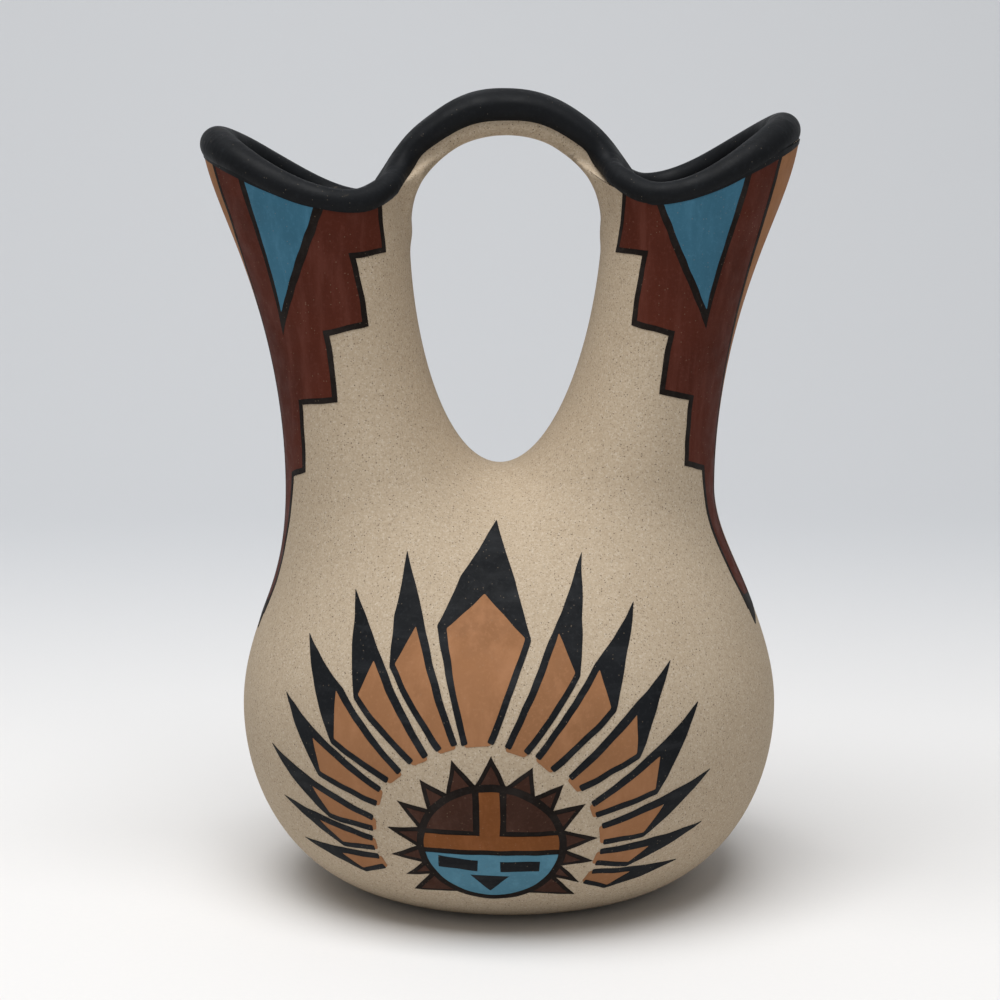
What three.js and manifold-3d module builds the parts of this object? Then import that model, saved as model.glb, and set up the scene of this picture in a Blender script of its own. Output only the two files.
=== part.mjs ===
// A wedding vase: one hollow clay vessel with two spouts that a handle joins.
// Units are millimetres, +Z is up, the front faces -Y and the origin is under the middle of the foot.

import * as THREE from 'three'
import { mergeVertices } from 'three/addons/utils/BufferGeometryUtils.js'
import Module from 'manifold-3d'

const wasm = await Module()
wasm.setup()

// Bowl
const FOOT_RADIUS = 42
const BELLY_RADIUS = 89
const BELLY_HEIGHT = 60
const WALL = 5.5
const FLOOR_THICKNESS = 7

// Neck and the saddle where it divides
const WAIST_HALF_WIDTH = 71
const WAIST_HEIGHT = 134
const NECK_HALF_DEPTH = 64
const NECK_OFFSET = -3
const NECK_LEAN_HEIGHT = 95
const CROTCH_HEIGHT = 140.3
const FORK_START_HEIGHT = 75
const FORK_SLIMNESS = 24

// Spouts
const SPOUT_SLIMNESS = 44
const SPOUT_WAIST_HEIGHT = 190
const MOUTH_FLARE = 28
const LIP_TURN = 12
const HANDLE_ROOT_THICKNESS = 12
const HANDLE_ROOT_LENGTH = 26
const LEFT_TIP_DROP = 22.4
const LEFT_DIP_DROP = 38.6
const RIGHT_TIP_DROP = 18.1
const RIGHT_DIP_DROP = 36
const DIP_ANGLE = THREE.MathUtils.degToRad(62)
const ROOT_RISE = 4

// Rims and handle
const RIM_TIP_RADIUS = 5.7
const RIM_DIP_RADIUS = 4
const RIM_OVERHANG = 1.2
const RIM_SEAT = 0.75
const HANDLE_TOP_HEIGHT = 263.4
const HANDLE_FULLNESS = 1.25
const HANDLE_COIL_THICKNESS = 10.6
const HANDLE_COIL_ROOT_THICKNESS = 7.4
const HANDLE_DEPTH = 19
const HANDLE_ROOT_DEPTH = 27
const STRAP_THICKNESS = 4.6
const STRAP_ROUNDING = 0.3

// Window between the spouts
const WINDOW_HALF_WIDTH = 31.6
const WINDOW_ARCH_RISE = 27.7
const WINDOW_OFFSET = 2
const WINDOW_TAPER = 1.8

// Heights that follow from the handle's top
const WINDOW_TOP_HEIGHT = HANDLE_TOP_HEIGHT - HANDLE_COIL_THICKNESS - STRAP_THICKNESS
const WINDOW_WIDEST_HEIGHT = WINDOW_TOP_HEIGHT - WINDOW_ARCH_RISE
const LEFT_EDGE = spoutEdge(-1, LEFT_TIP_DROP, LEFT_DIP_DROP)
const RIGHT_EDGE = spoutEdge(1, RIGHT_TIP_DROP, RIGHT_DIP_DROP)

// Joints between the luted pieces
const SHOULDER_JOINT_HEIGHT = 60
const YOKE_JOINT_HEIGHT = 98.3
const SPOUT_JOINT_HEIGHT = 154
const JOINT_GAP = 0.3

// Facets
const HALF_RING_STEPS = 28
const FLOOR_ROWS = 4
const BOWL_ROWS = 8
const SHOULDER_ROWS = 5
const SADDLE_ROWS_BELOW = 6
const SADDLE_ROWS_ABOVE = 5
const SPOUT_ROWS = 8
const RIM_STEPS = 48
const COIL_SIDES = 12
const ARCH_STEPS = 28
const CUTTER_MARGIN = 6
const TANGENT_ANGLE = 0.02
const TANGENT_SHARE = 0.01

const CLAY = { color: 0xa8977c, roughness: 0.85, metalness: 0 }
const BLACK_SLIP = { color: 0x25272a, roughness: 0.6, metalness: 0 }

const mix = (from, to, share) => from + (to - from) * share
const clampShare = share => Math.min(1, Math.max(0, share))
const ease = share => (1 - Math.cos(Math.PI * clampShare(share))) / 2
const shareOf = (value, from, to) => (value - from) / (to - from)

// The slanting edge of one spout, measured down from the handle's top.
function spoutEdge(side, tipDrop, dipDrop) {
  return { side, tip: HANDLE_TOP_HEIGHT - tipDrop, dip: HANDLE_TOP_HEIGHT - dipDrop }
}

// Half width or half depth of the bowl and neck: an ellipse below the belly, an S curve above it.
function bodyReach(z, inset, waistReach) {
  if (z < BELLY_HEIGHT) {
    const drop = (BELLY_HEIGHT - z) / (BELLY_HEIGHT - inset)
    const bulge = Math.sqrt(Math.max(0, 1 - drop * drop))
    return FOOT_RADIUS + (BELLY_RADIUS - inset - FOOT_RADIUS) * bulge
  }
  return mix(BELLY_RADIUS, waistReach, ease(shareOf(z, BELLY_HEIGHT, WAIST_HEIGHT))) - inset
}

// The spouts lean outwards along a parabola that starts at the waist and turns upright at the lip.
function outerReach(z, inset) {
  const climb = Math.max(0, shareOf(z, WAIST_HEIGHT, LEFT_EDGE.tip))
  const upright = (1 + climb ** LIP_TURN) ** (2 / LIP_TURN)
  return bodyReach(z, inset, WAIST_HALF_WIDTH) + MOUTH_FLARE * climb * climb / upright
}

// The square of the window's half width at a height, for the window as seen or grown by an inset.
// It is below zero under the window, which lets the surface run on smoothly through the saddle.
function windowSquare(z, inset) {
  const bottom = CROTCH_HEIGHT - inset
  if (z < WINDOW_WIDEST_HEIGHT) {
    const drop = (WINDOW_WIDEST_HEIGHT - z) / (WINDOW_WIDEST_HEIGHT - bottom)
    return (WINDOW_HALF_WIDTH + inset) ** 2 * (1 - drop ** WINDOW_TAPER)
  }
  const rise = clampShare((z - WINDOW_WIDEST_HEIGHT) / (WINDOW_TOP_HEIGHT - WINDOW_WIDEST_HEIGHT))
  return (WINDOW_HALF_WIDTH * Math.sqrt(1 - rise * rise) + inset) ** 2
}

function windowShift(z) {
  return WINDOW_OFFSET * clampShare(shareOf(z, CROTCH_HEIGHT, WINDOW_WIDEST_HEIGHT))
}

// The neck was set a little to the left of the bowl by hand.
function neckShift(z) {
  return NECK_OFFSET * ease(shareOf(z, NECK_LEAN_HEIGHT, WAIST_HEIGHT))
}

// Half depth of the vessel at a distance x from its middle: an ellipse in the bowl, which the
// window parts into two legs further up. A larger slimness draws the legs in front to back.
function halfDepth(x, z, inset) {
  const outer = outerReach(z, inset)
  const ellipse = 1 - (x / outer) ** 2
  const climb = ease(shareOf(z, FORK_START_HEIGHT, SPOUT_WAIST_HEIGHT))
  const slimness = mix(FORK_SLIMNESS, SPOUT_SLIMNESS, climb)
  const past = Math.max(0, x * x - windowSquare(z, inset))
  const fork = ease(shareOf(z, FORK_START_HEIGHT, CROTCH_HEIGHT - inset))
  const parted = mix(1, past / (past + slimness ** 2), fork)
  return bodyReach(z, inset, NECK_HALF_DEPTH) * Math.sqrt(Math.max(0, ellipse * parted))
}

// A point of one side's half of the vessel. The angle runs from the inner side of the leg (0)
// round its front to its outer side (pi) and back behind it (2 pi).
function vesselPoint(side, angle, z, inset) {
  const outer = outerReach(z, inset)
  const inner = Math.sqrt(Math.max(0, windowSquare(z, inset)))
  const round = Math.sin(angle / 2)
  const neck = clampShare(shareOf(z, CROTCH_HEIGHT - inset, YOKE_JOINT_HEIGHT))
  const x = mix(inner, outer, mix(round * round, round, neck))
  const front = angle < Math.PI ? -1 : 1
  const nearWindow = 1 - round * round
  const shift = neckShift(z) + windowShift(z) * nearWindow
  return new THREE.Vector3(side * x + shift, front * halfDepth(Math.abs(x), z, inset), z)
}

// The wall grows thicker inwards where the handle stands on it.
function wallInset(angle, z) {
  const nearHandle = ((1 + Math.cos(angle)) / 2) ** 3
  const nearTop = ease(shareOf(z, WINDOW_WIDEST_HEIGHT - HANDLE_ROOT_LENGTH, WINDOW_WIDEST_HEIGHT))
  return (HANDLE_ROOT_THICKNESS - WALL) * nearHandle * nearTop
}

function wallPoint(side, angle, z, layer) {
  if (layer === 'outer') return vesselPoint(side, angle, z, 0)
  const point = vesselPoint(side, angle, z, WALL)
  point.x += side * wallInset(angle, z)
  return point
}

// Height of the clay edge that a rim sits on: high at the tip, low at the dip, rising to the handle.
function edgeHeight(edge, angle) {
  const turn = Math.min(angle, 2 * Math.PI - angle)
  if (turn < DIP_ANGLE) return edge.dip + ROOT_RISE * (1 - ease(turn / DIP_ANGLE))
  return mix(edge.dip, edge.tip, ease(shareOf(turn, DIP_ANGLE, Math.PI)))
}

// Triangles are gathered as point triples, and equal points are merged at the end.
function addQuad(corners, a, b, c, d) {
  corners.push(a, b, c, a, c, d)
}

function toGeometry(corners) {
  const raw = new THREE.BufferGeometry().setFromPoints(corners)
  const geometry = mergeVertices(raw, 1e-4)
  geometry.computeVertexNormals()
  return geometry
}

// Joins rows of points into a skin. Each row has as many points, and faces look out when the
// rows climb and the points run counterclockwise as seen from above.
function addSkin(corners, rows, inward) {
  for (let row = 0; row + 1 < rows.length; row += 1) {
    for (let step = 0; step + 1 < rows[row].length; step += 1) {
      const below = rows[row]
      const above = rows[row + 1]
      if (inward) addQuad(corners, below[step], above[step], above[step + 1], below[step + 1])
      else addQuad(corners, below[step], below[step + 1], above[step + 1], above[step])
    }
  }
}

const ringAngles = Array.from({ length: HALF_RING_STEPS + 1 }, (_, step) => {
  return 2 * Math.PI * step / HALF_RING_STEPS
})

// The right side's points run counterclockwise from above, the left side's the other way.
function halfRing(side, z, layer) {
  const points = ringAngles.map(angle => wallPoint(side, angle, z, layer))
  return side > 0 ? points : points.reverse()
}

function heights(from, to, count) {
  return Array.from({ length: count + 1 }, (_, step) => mix(from, to, step / count))
}

// The heights of a skin that passes the saddle: one at the crotch, and closer ones on both sides
// of it, where the surface turns level.
function saddleHeights(from, to, inset) {
  const crotch = CROTCH_HEIGHT - inset
  const below = heights(1, 0, SADDLE_ROWS_BELOW).map(share => mix(crotch, from, share * share))
  const above = heights(0, 1, SADDLE_ROWS_ABOVE).map(share => mix(crotch, to, share * share)).slice(1)
  return [...below, ...above]
}

// A closed band of the vessel's wall between two level joints.
function wallBand(outerHeights, innerHeights) {
  const corners = []
  for (const side of [-1, 1]) {
    addSkin(corners, outerHeights.map(z => halfRing(side, z, 'outer')), false)
    addSkin(corners, innerHeights.map(z => halfRing(side, z, 'inner')), true)
    const bottom = outerHeights[0]
    const top = outerHeights[outerHeights.length - 1]
    addSkin(corners, [halfRing(side, top, 'outer'), halfRing(side, top, 'inner')], false)
    addSkin(corners, [halfRing(side, bottom, 'inner'), halfRing(side, bottom, 'outer')], false)
  }
  return toGeometry(corners)
}

function footDisc() {
  const rows = heights(0, FLOOR_THICKNESS, FLOOR_ROWS)
  const profile = rows.map(z => new THREE.Vector2(bodyReach(z, 0, WAIST_HALF_WIDTH), z))
  const points = [new THREE.Vector2(0, 0), ...profile, new THREE.Vector2(0, FLOOR_THICKNESS)]
  const geometry = new THREE.LatheGeometry(points, 2 * HALF_RING_STEPS)
  geometry.rotateX(Math.PI / 2)
  return geometry
}

function lowerBowl() {
  const rows = heights(FLOOR_THICKNESS, SHOULDER_JOINT_HEIGHT, BOWL_ROWS)
  return wallBand(rows, rows)
}

function shoulder() {
  const rows = heights(SHOULDER_JOINT_HEIGHT, YOKE_JOINT_HEIGHT, SHOULDER_ROWS)
  return wallBand(rows, rows)
}

function yoke() {
  const outer = saddleHeights(YOKE_JOINT_HEIGHT, SPOUT_JOINT_HEIGHT, 0)
  const inner = saddleHeights(YOKE_JOINT_HEIGHT, SPOUT_JOINT_HEIGHT, WALL)
  return wallBand(outer, inner)
}

// One spout's wall from its level joint up to its slanting edge. With a margin and a lift it is
// the cutter that clears the wall from what sits on that edge.
function spoutWall(edge, margin, lift) {
  const ring = (share, layer, spread) => {
    const points = ringAngles.map(angle => {
      const z = mix(SPOUT_JOINT_HEIGHT, edgeHeight(edge, angle) + lift, share)
      const outer = wallPoint(edge.side, angle, z, 'outer')
      const inner = wallPoint(edge.side, angle, z, 'inner')
      const outward = outer.clone().sub(inner).normalize()
      if (layer === 'outer') return outer.addScaledVector(outward, spread)
      return inner.addScaledVector(outward, -spread)
    })
    return edge.side > 0 ? points : points.reverse()
  }
  const shares = heights(0, 1, SPOUT_ROWS)
  const lip = [ring(1, 'outer', 0), ring(1, 'inner', 0)]
  const wideLip = [ring(1, 'outer', margin), ...lip, ring(1, 'inner', margin)]
  const corners = []
  addSkin(corners, shares.map(share => ring(share, 'outer', margin)), false)
  addSkin(corners, shares.map(share => ring(share, 'inner', margin)), true)
  addSkin(corners, margin > 0 ? wideLip : lip, false)
  addSkin(corners, [ring(0, 'inner', margin), ring(0, 'outer', margin)], false)
  return toGeometry(corners)
}

function rimRadius(angle) {
  const turn = Math.min(angle, 2 * Math.PI - angle)
  return mix(RIM_DIP_RADIUS, RIM_TIP_RADIUS, ease(shareOf(turn, DIP_ANGLE, Math.PI)))
}

// Middle of the rim's coil, which hangs over the wall's outer face by the overhang.
function rimCentre(edge, angle) {
  const z = edgeHeight(edge, angle)
  const inner = wallPoint(edge.side, angle, z, 'inner')
  const spread = WALL + RIM_OVERHANG - rimRadius(angle)
  const outer = wallPoint(edge.side, angle, z, 'outer')
  const outward = outer.sub(inner).normalize()
  const centre = inner.addScaledVector(outward, spread)
  centre.z += rimRadius(angle) * RIM_SEAT + JOINT_GAP
  return centre
}

// Outline of a coil with a level underside, in its own across and up directions.
function coilSection(halfDepth, top, bottom) {
  const points = []
  const start = -Math.asin(Math.min(1, bottom / top))
  for (let step = 0; step < COIL_SIDES; step += 1) {
    const angle = mix(start, Math.PI - start, step / (COIL_SIDES - 1))
    points.push([halfDepth * Math.cos(angle), top * Math.sin(angle)])
  }
  return points
}

function roundSection(radius) {
  return Array.from({ length: COIL_SIDES }, (_, step) => {
    const angle = 2 * Math.PI * step / COIL_SIDES
    return [radius * Math.cos(angle), radius * Math.sin(angle)]
  })
}

// A closed loop of coil along one mouth, before it is pressed on the spout's edge.
function rimCoil(edge, growth) {
  const rows = []
  for (let step = 0; step <= RIM_STEPS; step += 1) {
    const angle = 2 * Math.PI * (step % RIM_STEPS) / RIM_STEPS
    const before = rimCentre(edge, (angle - TANGENT_ANGLE + 2 * Math.PI) % (2 * Math.PI))
    const after = rimCentre(edge, (angle + TANGENT_ANGLE) % (2 * Math.PI))
    const along = after.sub(before).normalize()
    const across = new THREE.Vector3().crossVectors(along, new THREE.Vector3(0, 0, 1)).normalize()
    const up = new THREE.Vector3().crossVectors(across, along)
    const section = roundSection(rimRadius(angle) + growth)
    rows.push(closeLoop(section.map(([side, rise]) => {
      return rimCentre(edge, angle).addScaledVector(across, side).addScaledVector(up, rise)
    })))
  }
  const corners = []
  addSkin(corners, rows, true)
  return toGeometry(corners)
}

function closeLoop(points) {
  return [...points, points[0].clone()]
}

// Middle of the handle's coil: a full cosine arch from one rim's inner end to the other's.
function archPoint(share) {
  const edge = share < 0 ? LEFT_EDGE : RIGHT_EDGE
  const root = rimCentre(edge, 0)
  const top = HANDLE_TOP_HEIGHT - HANDLE_COIL_THICKNESS / 2
  const rise = Math.cos(Math.PI / 2 * Math.abs(share) ** HANDLE_FULLNESS)
  const x = mix(NECK_OFFSET + WINDOW_OFFSET, root.x, Math.abs(share))
  return new THREE.Vector3(x, 0, mix(root.z, top, rise))
}

function archFrame(share) {
  const before = archPoint(Math.max(-1, share - TANGENT_SHARE))
  const after = archPoint(Math.min(1, share + TANGENT_SHARE))
  const along = after.sub(before).normalize()
  const out = new THREE.Vector3(-along.z, 0, along.x)
  const rise = Math.cos(Math.PI / 2 * share)
  const thickness = mix(HANDLE_COIL_ROOT_THICKNESS, HANDLE_COIL_THICKNESS, rise)
  const halfDepth = mix(HANDLE_ROOT_DEPTH, HANDLE_DEPTH, Math.min(1, rise * 2)) / 2
  return { centre: archPoint(share), out, thickness, halfDepth }
}

const archShares = heights(-1, 1, ARCH_STEPS)

// A bar swept along the arch, with a fan of triangles on each end. Its sections run clockwise
// as seen from the end that the sweep goes to.
function sweptBar(rows) {
  const corners = []
  addSkin(corners, rows, true)
  const first = rows[0]
  const last = rows[rows.length - 1]
  for (let step = 1; step + 2 < first.length; step += 1) {
    corners.push(first[0], first[step], first[step + 1])
    corners.push(last[0], last[step + 1], last[step])
  }
  return toGeometry(corners)
}

function handleCoil() {
  const rows = archShares.map(share => {
    const { centre, out, thickness, halfDepth } = archFrame(share)
    const section = coilSection(halfDepth, thickness / 2, thickness / 2 - JOINT_GAP)
    return closeLoop(section.map(([depth, rise]) => {
      return centre.clone().addScaledVector(out, rise).add(new THREE.Vector3(0, -depth, 0))
    }))
  })
  return sweptBar(rows)
}

// The clay strap under the handle's coil: its underside is the window's round top.
function handleStrap() {
  const rows = archShares.map(share => {
    const { centre, out, thickness, halfDepth } = archFrame(share)
    const turn = share * Math.PI / 2
    const top = centre.clone().addScaledVector(out, -thickness / 2)
    const bottom = new THREE.Vector3(
      WINDOW_HALF_WIDTH * Math.sin(turn) + NECK_OFFSET + WINDOW_OFFSET,
      0,
      mix(WINDOW_WIDEST_HEIGHT, WINDOW_TOP_HEIGHT, Math.cos(turn)),
    )
    const edges = [
      [-1, 1], [1, 1], [1, STRAP_ROUNDING], [1 - STRAP_ROUNDING, 0], [STRAP_ROUNDING - 1, 0], [-1, STRAP_ROUNDING],
    ]
    return closeLoop(edges.map(([depth, rise]) => {
      return bottom.clone().lerp(top, rise).add(new THREE.Vector3(0, depth * halfDepth, 0))
    }))
  })
  return sweptBar(rows)
}

function toSolid(geometry) {
  const plain = geometry.clone()
  plain.deleteAttribute('normal')
  if (plain.getAttribute('uv')) plain.deleteAttribute('uv')
  const merged = mergeVertices(plain, 1e-4)
  return new wasm.Manifold(new wasm.Mesh({
    numProp: 3,
    vertProperties: new Float32Array(merged.getAttribute('position').array),
    triVerts: new Uint32Array(merged.getIndex().array),
  }))
}

function fromSolid(solid) {
  const mesh = solid.getMesh()
  const geometry = new THREE.BufferGeometry()
  geometry.setAttribute('position', new THREE.BufferAttribute(mesh.vertProperties, 3))
  geometry.setIndex(new THREE.BufferAttribute(mesh.triVerts, 1))
  geometry.computeVertexNormals()
  return geometry
}

// Cuts a piece to what it sits on, and leaves the joint's gap.
function fitted(geometry, cutters) {
  let solid = toSolid(geometry)
  for (const cutter of cutters) solid = solid.subtract(toSolid(cutter))
  return fromSolid(solid)
}

function addPart(group, name, geometry, finish) {
  const mesh = new THREE.Mesh(geometry, new THREE.MeshStandardMaterial(finish))
  mesh.name = name
  group.add(mesh)
}

const group = new THREE.Group()
const edges = [LEFT_EDGE, RIGHT_EDGE]
const spoutCutters = edges.map(edge => spoutWall(edge, CUTTER_MARGIN, JOINT_GAP))
const rimCutters = edges.map(edge => rimCoil(edge, JOINT_GAP))

addPart(group, 'foot_disc', footDisc(), CLAY)
addPart(group, 'lower_bowl', lowerBowl(), CLAY)
addPart(group, 'shoulder', shoulder(), CLAY)
addPart(group, 'yoke', yoke(), CLAY)
addPart(group, 'left_spout', spoutWall(LEFT_EDGE, 0, 0), CLAY)
addPart(group, 'right_spout', spoutWall(RIGHT_EDGE, 0, 0), CLAY)
addPart(group, 'left_rim_coil', fitted(rimCoil(LEFT_EDGE, 0), spoutCutters), BLACK_SLIP)
addPart(group, 'right_rim_coil', fitted(rimCoil(RIGHT_EDGE, 0), spoutCutters), BLACK_SLIP)
addPart(group, 'handle_strap', fitted(handleStrap(), [...spoutCutters, ...rimCutters]), CLAY)
addPart(group, 'handle_coil', fitted(handleCoil(), [...spoutCutters, ...rimCutters]), BLACK_SLIP)

export default group
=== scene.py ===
"""A painted wedding vase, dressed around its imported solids.

The file is laid out as an add-on: sizes and finishes are properties, each piece or group of like
pieces has an operator, and a panel lists them. It is run as a script. Units are metres, +Z is up
and the painted front faces -Y.
"""

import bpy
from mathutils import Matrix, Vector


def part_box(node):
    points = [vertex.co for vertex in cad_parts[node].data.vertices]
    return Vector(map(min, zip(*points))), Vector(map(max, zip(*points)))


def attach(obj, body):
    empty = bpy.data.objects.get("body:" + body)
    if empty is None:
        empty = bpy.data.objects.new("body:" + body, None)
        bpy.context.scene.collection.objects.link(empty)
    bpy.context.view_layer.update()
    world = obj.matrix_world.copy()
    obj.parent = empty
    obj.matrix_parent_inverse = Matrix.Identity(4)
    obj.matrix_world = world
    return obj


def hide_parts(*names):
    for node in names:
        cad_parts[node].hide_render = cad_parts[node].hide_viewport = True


bl_info = {
    "name": "Wedding Vase",
    "version": (1, 0, 0),
    "blender": (4, 5, 0),
    "location": "3D Viewport > Sidebar > Vase",
    "description": "Builds a hand-painted clay wedding vase with two spouts and an arched handle",
    "category": "Add Mesh",
}

import math

import bmesh
import bpy
import numpy as np
from bpy.props import FloatProperty, FloatVectorProperty, PointerProperty
from mathutils import Vector, noise
from mathutils.geometry import tessellate_polygon

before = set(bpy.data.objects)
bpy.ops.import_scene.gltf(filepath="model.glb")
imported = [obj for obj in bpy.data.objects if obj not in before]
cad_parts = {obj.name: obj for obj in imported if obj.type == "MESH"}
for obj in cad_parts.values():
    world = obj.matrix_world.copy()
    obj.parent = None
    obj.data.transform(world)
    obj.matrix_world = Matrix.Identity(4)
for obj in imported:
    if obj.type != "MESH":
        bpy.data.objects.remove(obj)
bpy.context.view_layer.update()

# Bowl and neck, with the sizes of the solids
FOOT_RADIUS = 0.042
BELLY_RADIUS = 0.089
BELLY_HEIGHT = 0.060
WALL = 0.0055
WAIST_HALF_WIDTH = 0.071
WAIST_HEIGHT = 0.134
NECK_HALF_DEPTH = 0.064
NECK_OFFSET = -0.003
NECK_LEAN_HEIGHT = 0.095
CROTCH_HEIGHT = 0.1403
FORK_START_HEIGHT = 0.075
FORK_SLIMNESS = 0.024

# Spouts
SPOUT_SLIMNESS = 0.044
SPOUT_WAIST_HEIGHT = 0.190
MOUTH_FLARE = 0.028
LIP_TURN = 12
HANDLE_ROOT_THICKNESS = 0.012
SKIN_ROOT_THICKNESS = 0.0065
HANDLE_ROOT_LENGTH = 0.026
HANDLE_TOP_HEIGHT = 0.2634
LEFT_TIP_HEIGHT = HANDLE_TOP_HEIGHT - 0.0224
LEFT_DIP_HEIGHT = HANDLE_TOP_HEIGHT - 0.0386
RIGHT_TIP_HEIGHT = HANDLE_TOP_HEIGHT - 0.0181
RIGHT_DIP_HEIGHT = HANDLE_TOP_HEIGHT - 0.036
LEFT_BACK_DROP = 0.003
DIP_ANGLE = math.radians(62)
ROOT_RISE = 0.004
RIM_CLIMB = 0.0105

# Rims and handle
RIM_TIP_RADIUS = 0.0057
RIM_DIP_RADIUS = 0.004
RIM_OVERHANG = 0.0012
RIM_SEAT = 0.75
JOINT_GAP = 0.0003
HANDLE_FULLNESS = 1.25
# How much fuller the arch is at its left and its right haunch, and where the roll ends inside
# the rims, as a share of the arch's half
HANDLE_SWELL = (0.0013, 0.0008)
HANDLE_REACH = 1.15
COIL_THICKNESS = 0.0106
COIL_ROOT_THICKNESS = 0.0074
HANDLE_DEPTH = 0.019
HANDLE_ROOT_DEPTH = 0.027
STRAP_THICKNESS = 0.0046

# Window between the spouts
WINDOW_HALF_WIDTH = 0.0316
WINDOW_ARCH_RISE = 0.0277
WINDOW_OFFSET = 0.002
WINDOW_TAPER = 1.8
WINDOW_TOP_HEIGHT = HANDLE_TOP_HEIGHT - COIL_THICKNESS - STRAP_THICKNESS
WINDOW_WIDEST_HEIGHT = WINDOW_TOP_HEIGHT - WINDOW_ARCH_RISE

# Joints, read from the frame
FLOOR_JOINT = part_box("foot_disc")[1].z
BELLY_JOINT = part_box("lower_bowl")[1].z
YOKE_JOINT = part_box("shoulder")[1].z
SPOUT_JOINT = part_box("yoke")[1].z
SHELL_OVERLAP = 0.006

# Where planes across the arch part the strap and the roll from the spouts
PARTING_SHARE = 0.86
PARTING_HEIGHT = WINDOW_WIDEST_HEIGHT + 0.005

# Middle and spread of the haunches along the arch, and how much the roll's ends lose in size
SWELL_SHARE = 0.76
SWELL_SPREAD = 0.16
END_THINNING = 0.2
END_NARROWING = 0.55

# Angles round a spout, from the window: how far the root's rounding reaches, how far the rim is
# thinned, where it comes back from its shift, and where the back edge is level with the front
ROOT_ANGLE = 0.9
RIM_THINNING_ANGLE = 0.7
RIM_SHIFT_ANGLES = (0.2, 0.6)
BACK_RISE_ANGLE = 0.8 * np.pi

# Where the strap is worked out, to the side and below the widest window, and how the trim of the
# window opens downwards
STRAP_REACH = 0.055
STRAP_DEPTH = 0.012
WINDOW_EASE = (0.15, 5)

# Paint: how far it reaches above the clay's edge behind the rim, the softness of its corners,
# how much further out a coat stands than the one under it, and how many wavers outlines share
RIM_OVERLAP = 0.0015
SHARP_CORNER = 0.0006
SOFT_CORNER = 0.001
TAIL_CORNER = 0.0012
TRIANGLE_LIFT = 0.00005
SUN_LIFT = 0.00006
RING_LIFT = 0.00004
WAVER_COUNT = 17

# How finely the forms are made
NUDGE = 2e-5
RING_STEPS = 150
ROW_HEIGHT = 0.0014
CROTCH_REACH = 0.008
CROTCH_ROWS = 25
FOOT_ROWS = 14
FOOT_RINGS = 6
SHELL_STEPS = 240
SHELL_ROWS = 70
STRAP_STEPS = 60
ROLL_STEPS = 80
RIM_STEPS = 96
ARCH_STEPS = 139
CLAY_VOXEL = 0.0010
LIP_VOXEL = 0.0007
PAINT_CELL = 0.0022

# Points closer than a tenth of a micrometre are one, and smaller triangles are left out
MERGE_STEPS = 1e7
LEAST_AREA = 1e-13

# Bounds that keep the fields finite near their middles, and each move towards a surface short
LEAST_REACH = 0.05
LEAST_SLOPE = 0.3
LONGEST_MOVE = 0.002


def mix(low, high, share):
    return low + (high - low) * share


def ease(share):
    return (1 - np.cos(np.pi * np.clip(share, 0, 1))) / 2


def share_of(value, low, high):
    return (value - low) / (high - low)


def body_reach(z, inset, waist):
    """Half width or half depth of bowl and neck: an ellipse below the belly, an S curve above."""
    drop = (BELLY_HEIGHT - z) / (BELLY_HEIGHT - inset)
    bulge = np.sqrt(np.maximum(0, 1 - drop * drop))
    bowl = FOOT_RADIUS + (BELLY_RADIUS - inset - FOOT_RADIUS) * bulge
    neck = mix(BELLY_RADIUS, waist, ease(share_of(z, BELLY_HEIGHT, WAIST_HEIGHT))) - inset
    return np.where(z < BELLY_HEIGHT, bowl, neck)


def outer_reach(z, inset):
    """Distance from the middle to the outer side, where the spouts lean out and turn upright."""
    climb = np.maximum(0, share_of(z, WAIST_HEIGHT, LEFT_TIP_HEIGHT))
    upright = (1 + climb ** LIP_TURN) ** (2 / LIP_TURN)
    return body_reach(z, inset, WAIST_HALF_WIDTH) + MOUTH_FLARE * climb * climb / upright


def window_square(z, inset):
    """Square of the window's half width. It is below zero under the window."""
    bottom = CROTCH_HEIGHT - inset
    drop = np.maximum(0, (WINDOW_WIDEST_HEIGHT - z) / (WINDOW_WIDEST_HEIGHT - bottom))
    lower = (WINDOW_HALF_WIDTH + inset) ** 2 * (1 - drop ** WINDOW_TAPER)
    rise = np.clip(share_of(z, WINDOW_WIDEST_HEIGHT, WINDOW_TOP_HEIGHT), 0, 1)
    upper = (WINDOW_HALF_WIDTH * np.sqrt(1 - rise * rise) + inset) ** 2
    return np.where(z < WINDOW_WIDEST_HEIGHT, lower, upper)


def window_half(z, inset):
    return np.sqrt(np.maximum(0, window_square(z, inset)))


def window_shift(z):
    return WINDOW_OFFSET * np.clip(share_of(z, CROTCH_HEIGHT, WINDOW_WIDEST_HEIGHT), 0, 1)


def neck_shift(z):
    return NECK_OFFSET * ease(share_of(z, NECK_LEAN_HEIGHT, WAIST_HEIGHT))


def depth_square(x, z, inset):
    """Square of the half depth at a distance x from the middle. It is below zero off the clay."""
    ellipse = 1 - (x / outer_reach(z, inset)) ** 2
    climb = ease(share_of(z, FORK_START_HEIGHT, SPOUT_WAIST_HEIGHT))
    slimness = mix(FORK_SLIMNESS, SPOUT_SLIMNESS, climb)
    past = x * x - window_square(z, inset)
    fork = ease(share_of(z, FORK_START_HEIGHT, CROTCH_HEIGHT - inset))
    parted = mix(1, past / (past + slimness ** 2), fork)
    return body_reach(z, inset, NECK_HALF_DEPTH) ** 2 * ellipse * parted


def half_depth(x, z, inset):
    return np.sqrt(np.maximum(0, depth_square(x, z, inset)))


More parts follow.
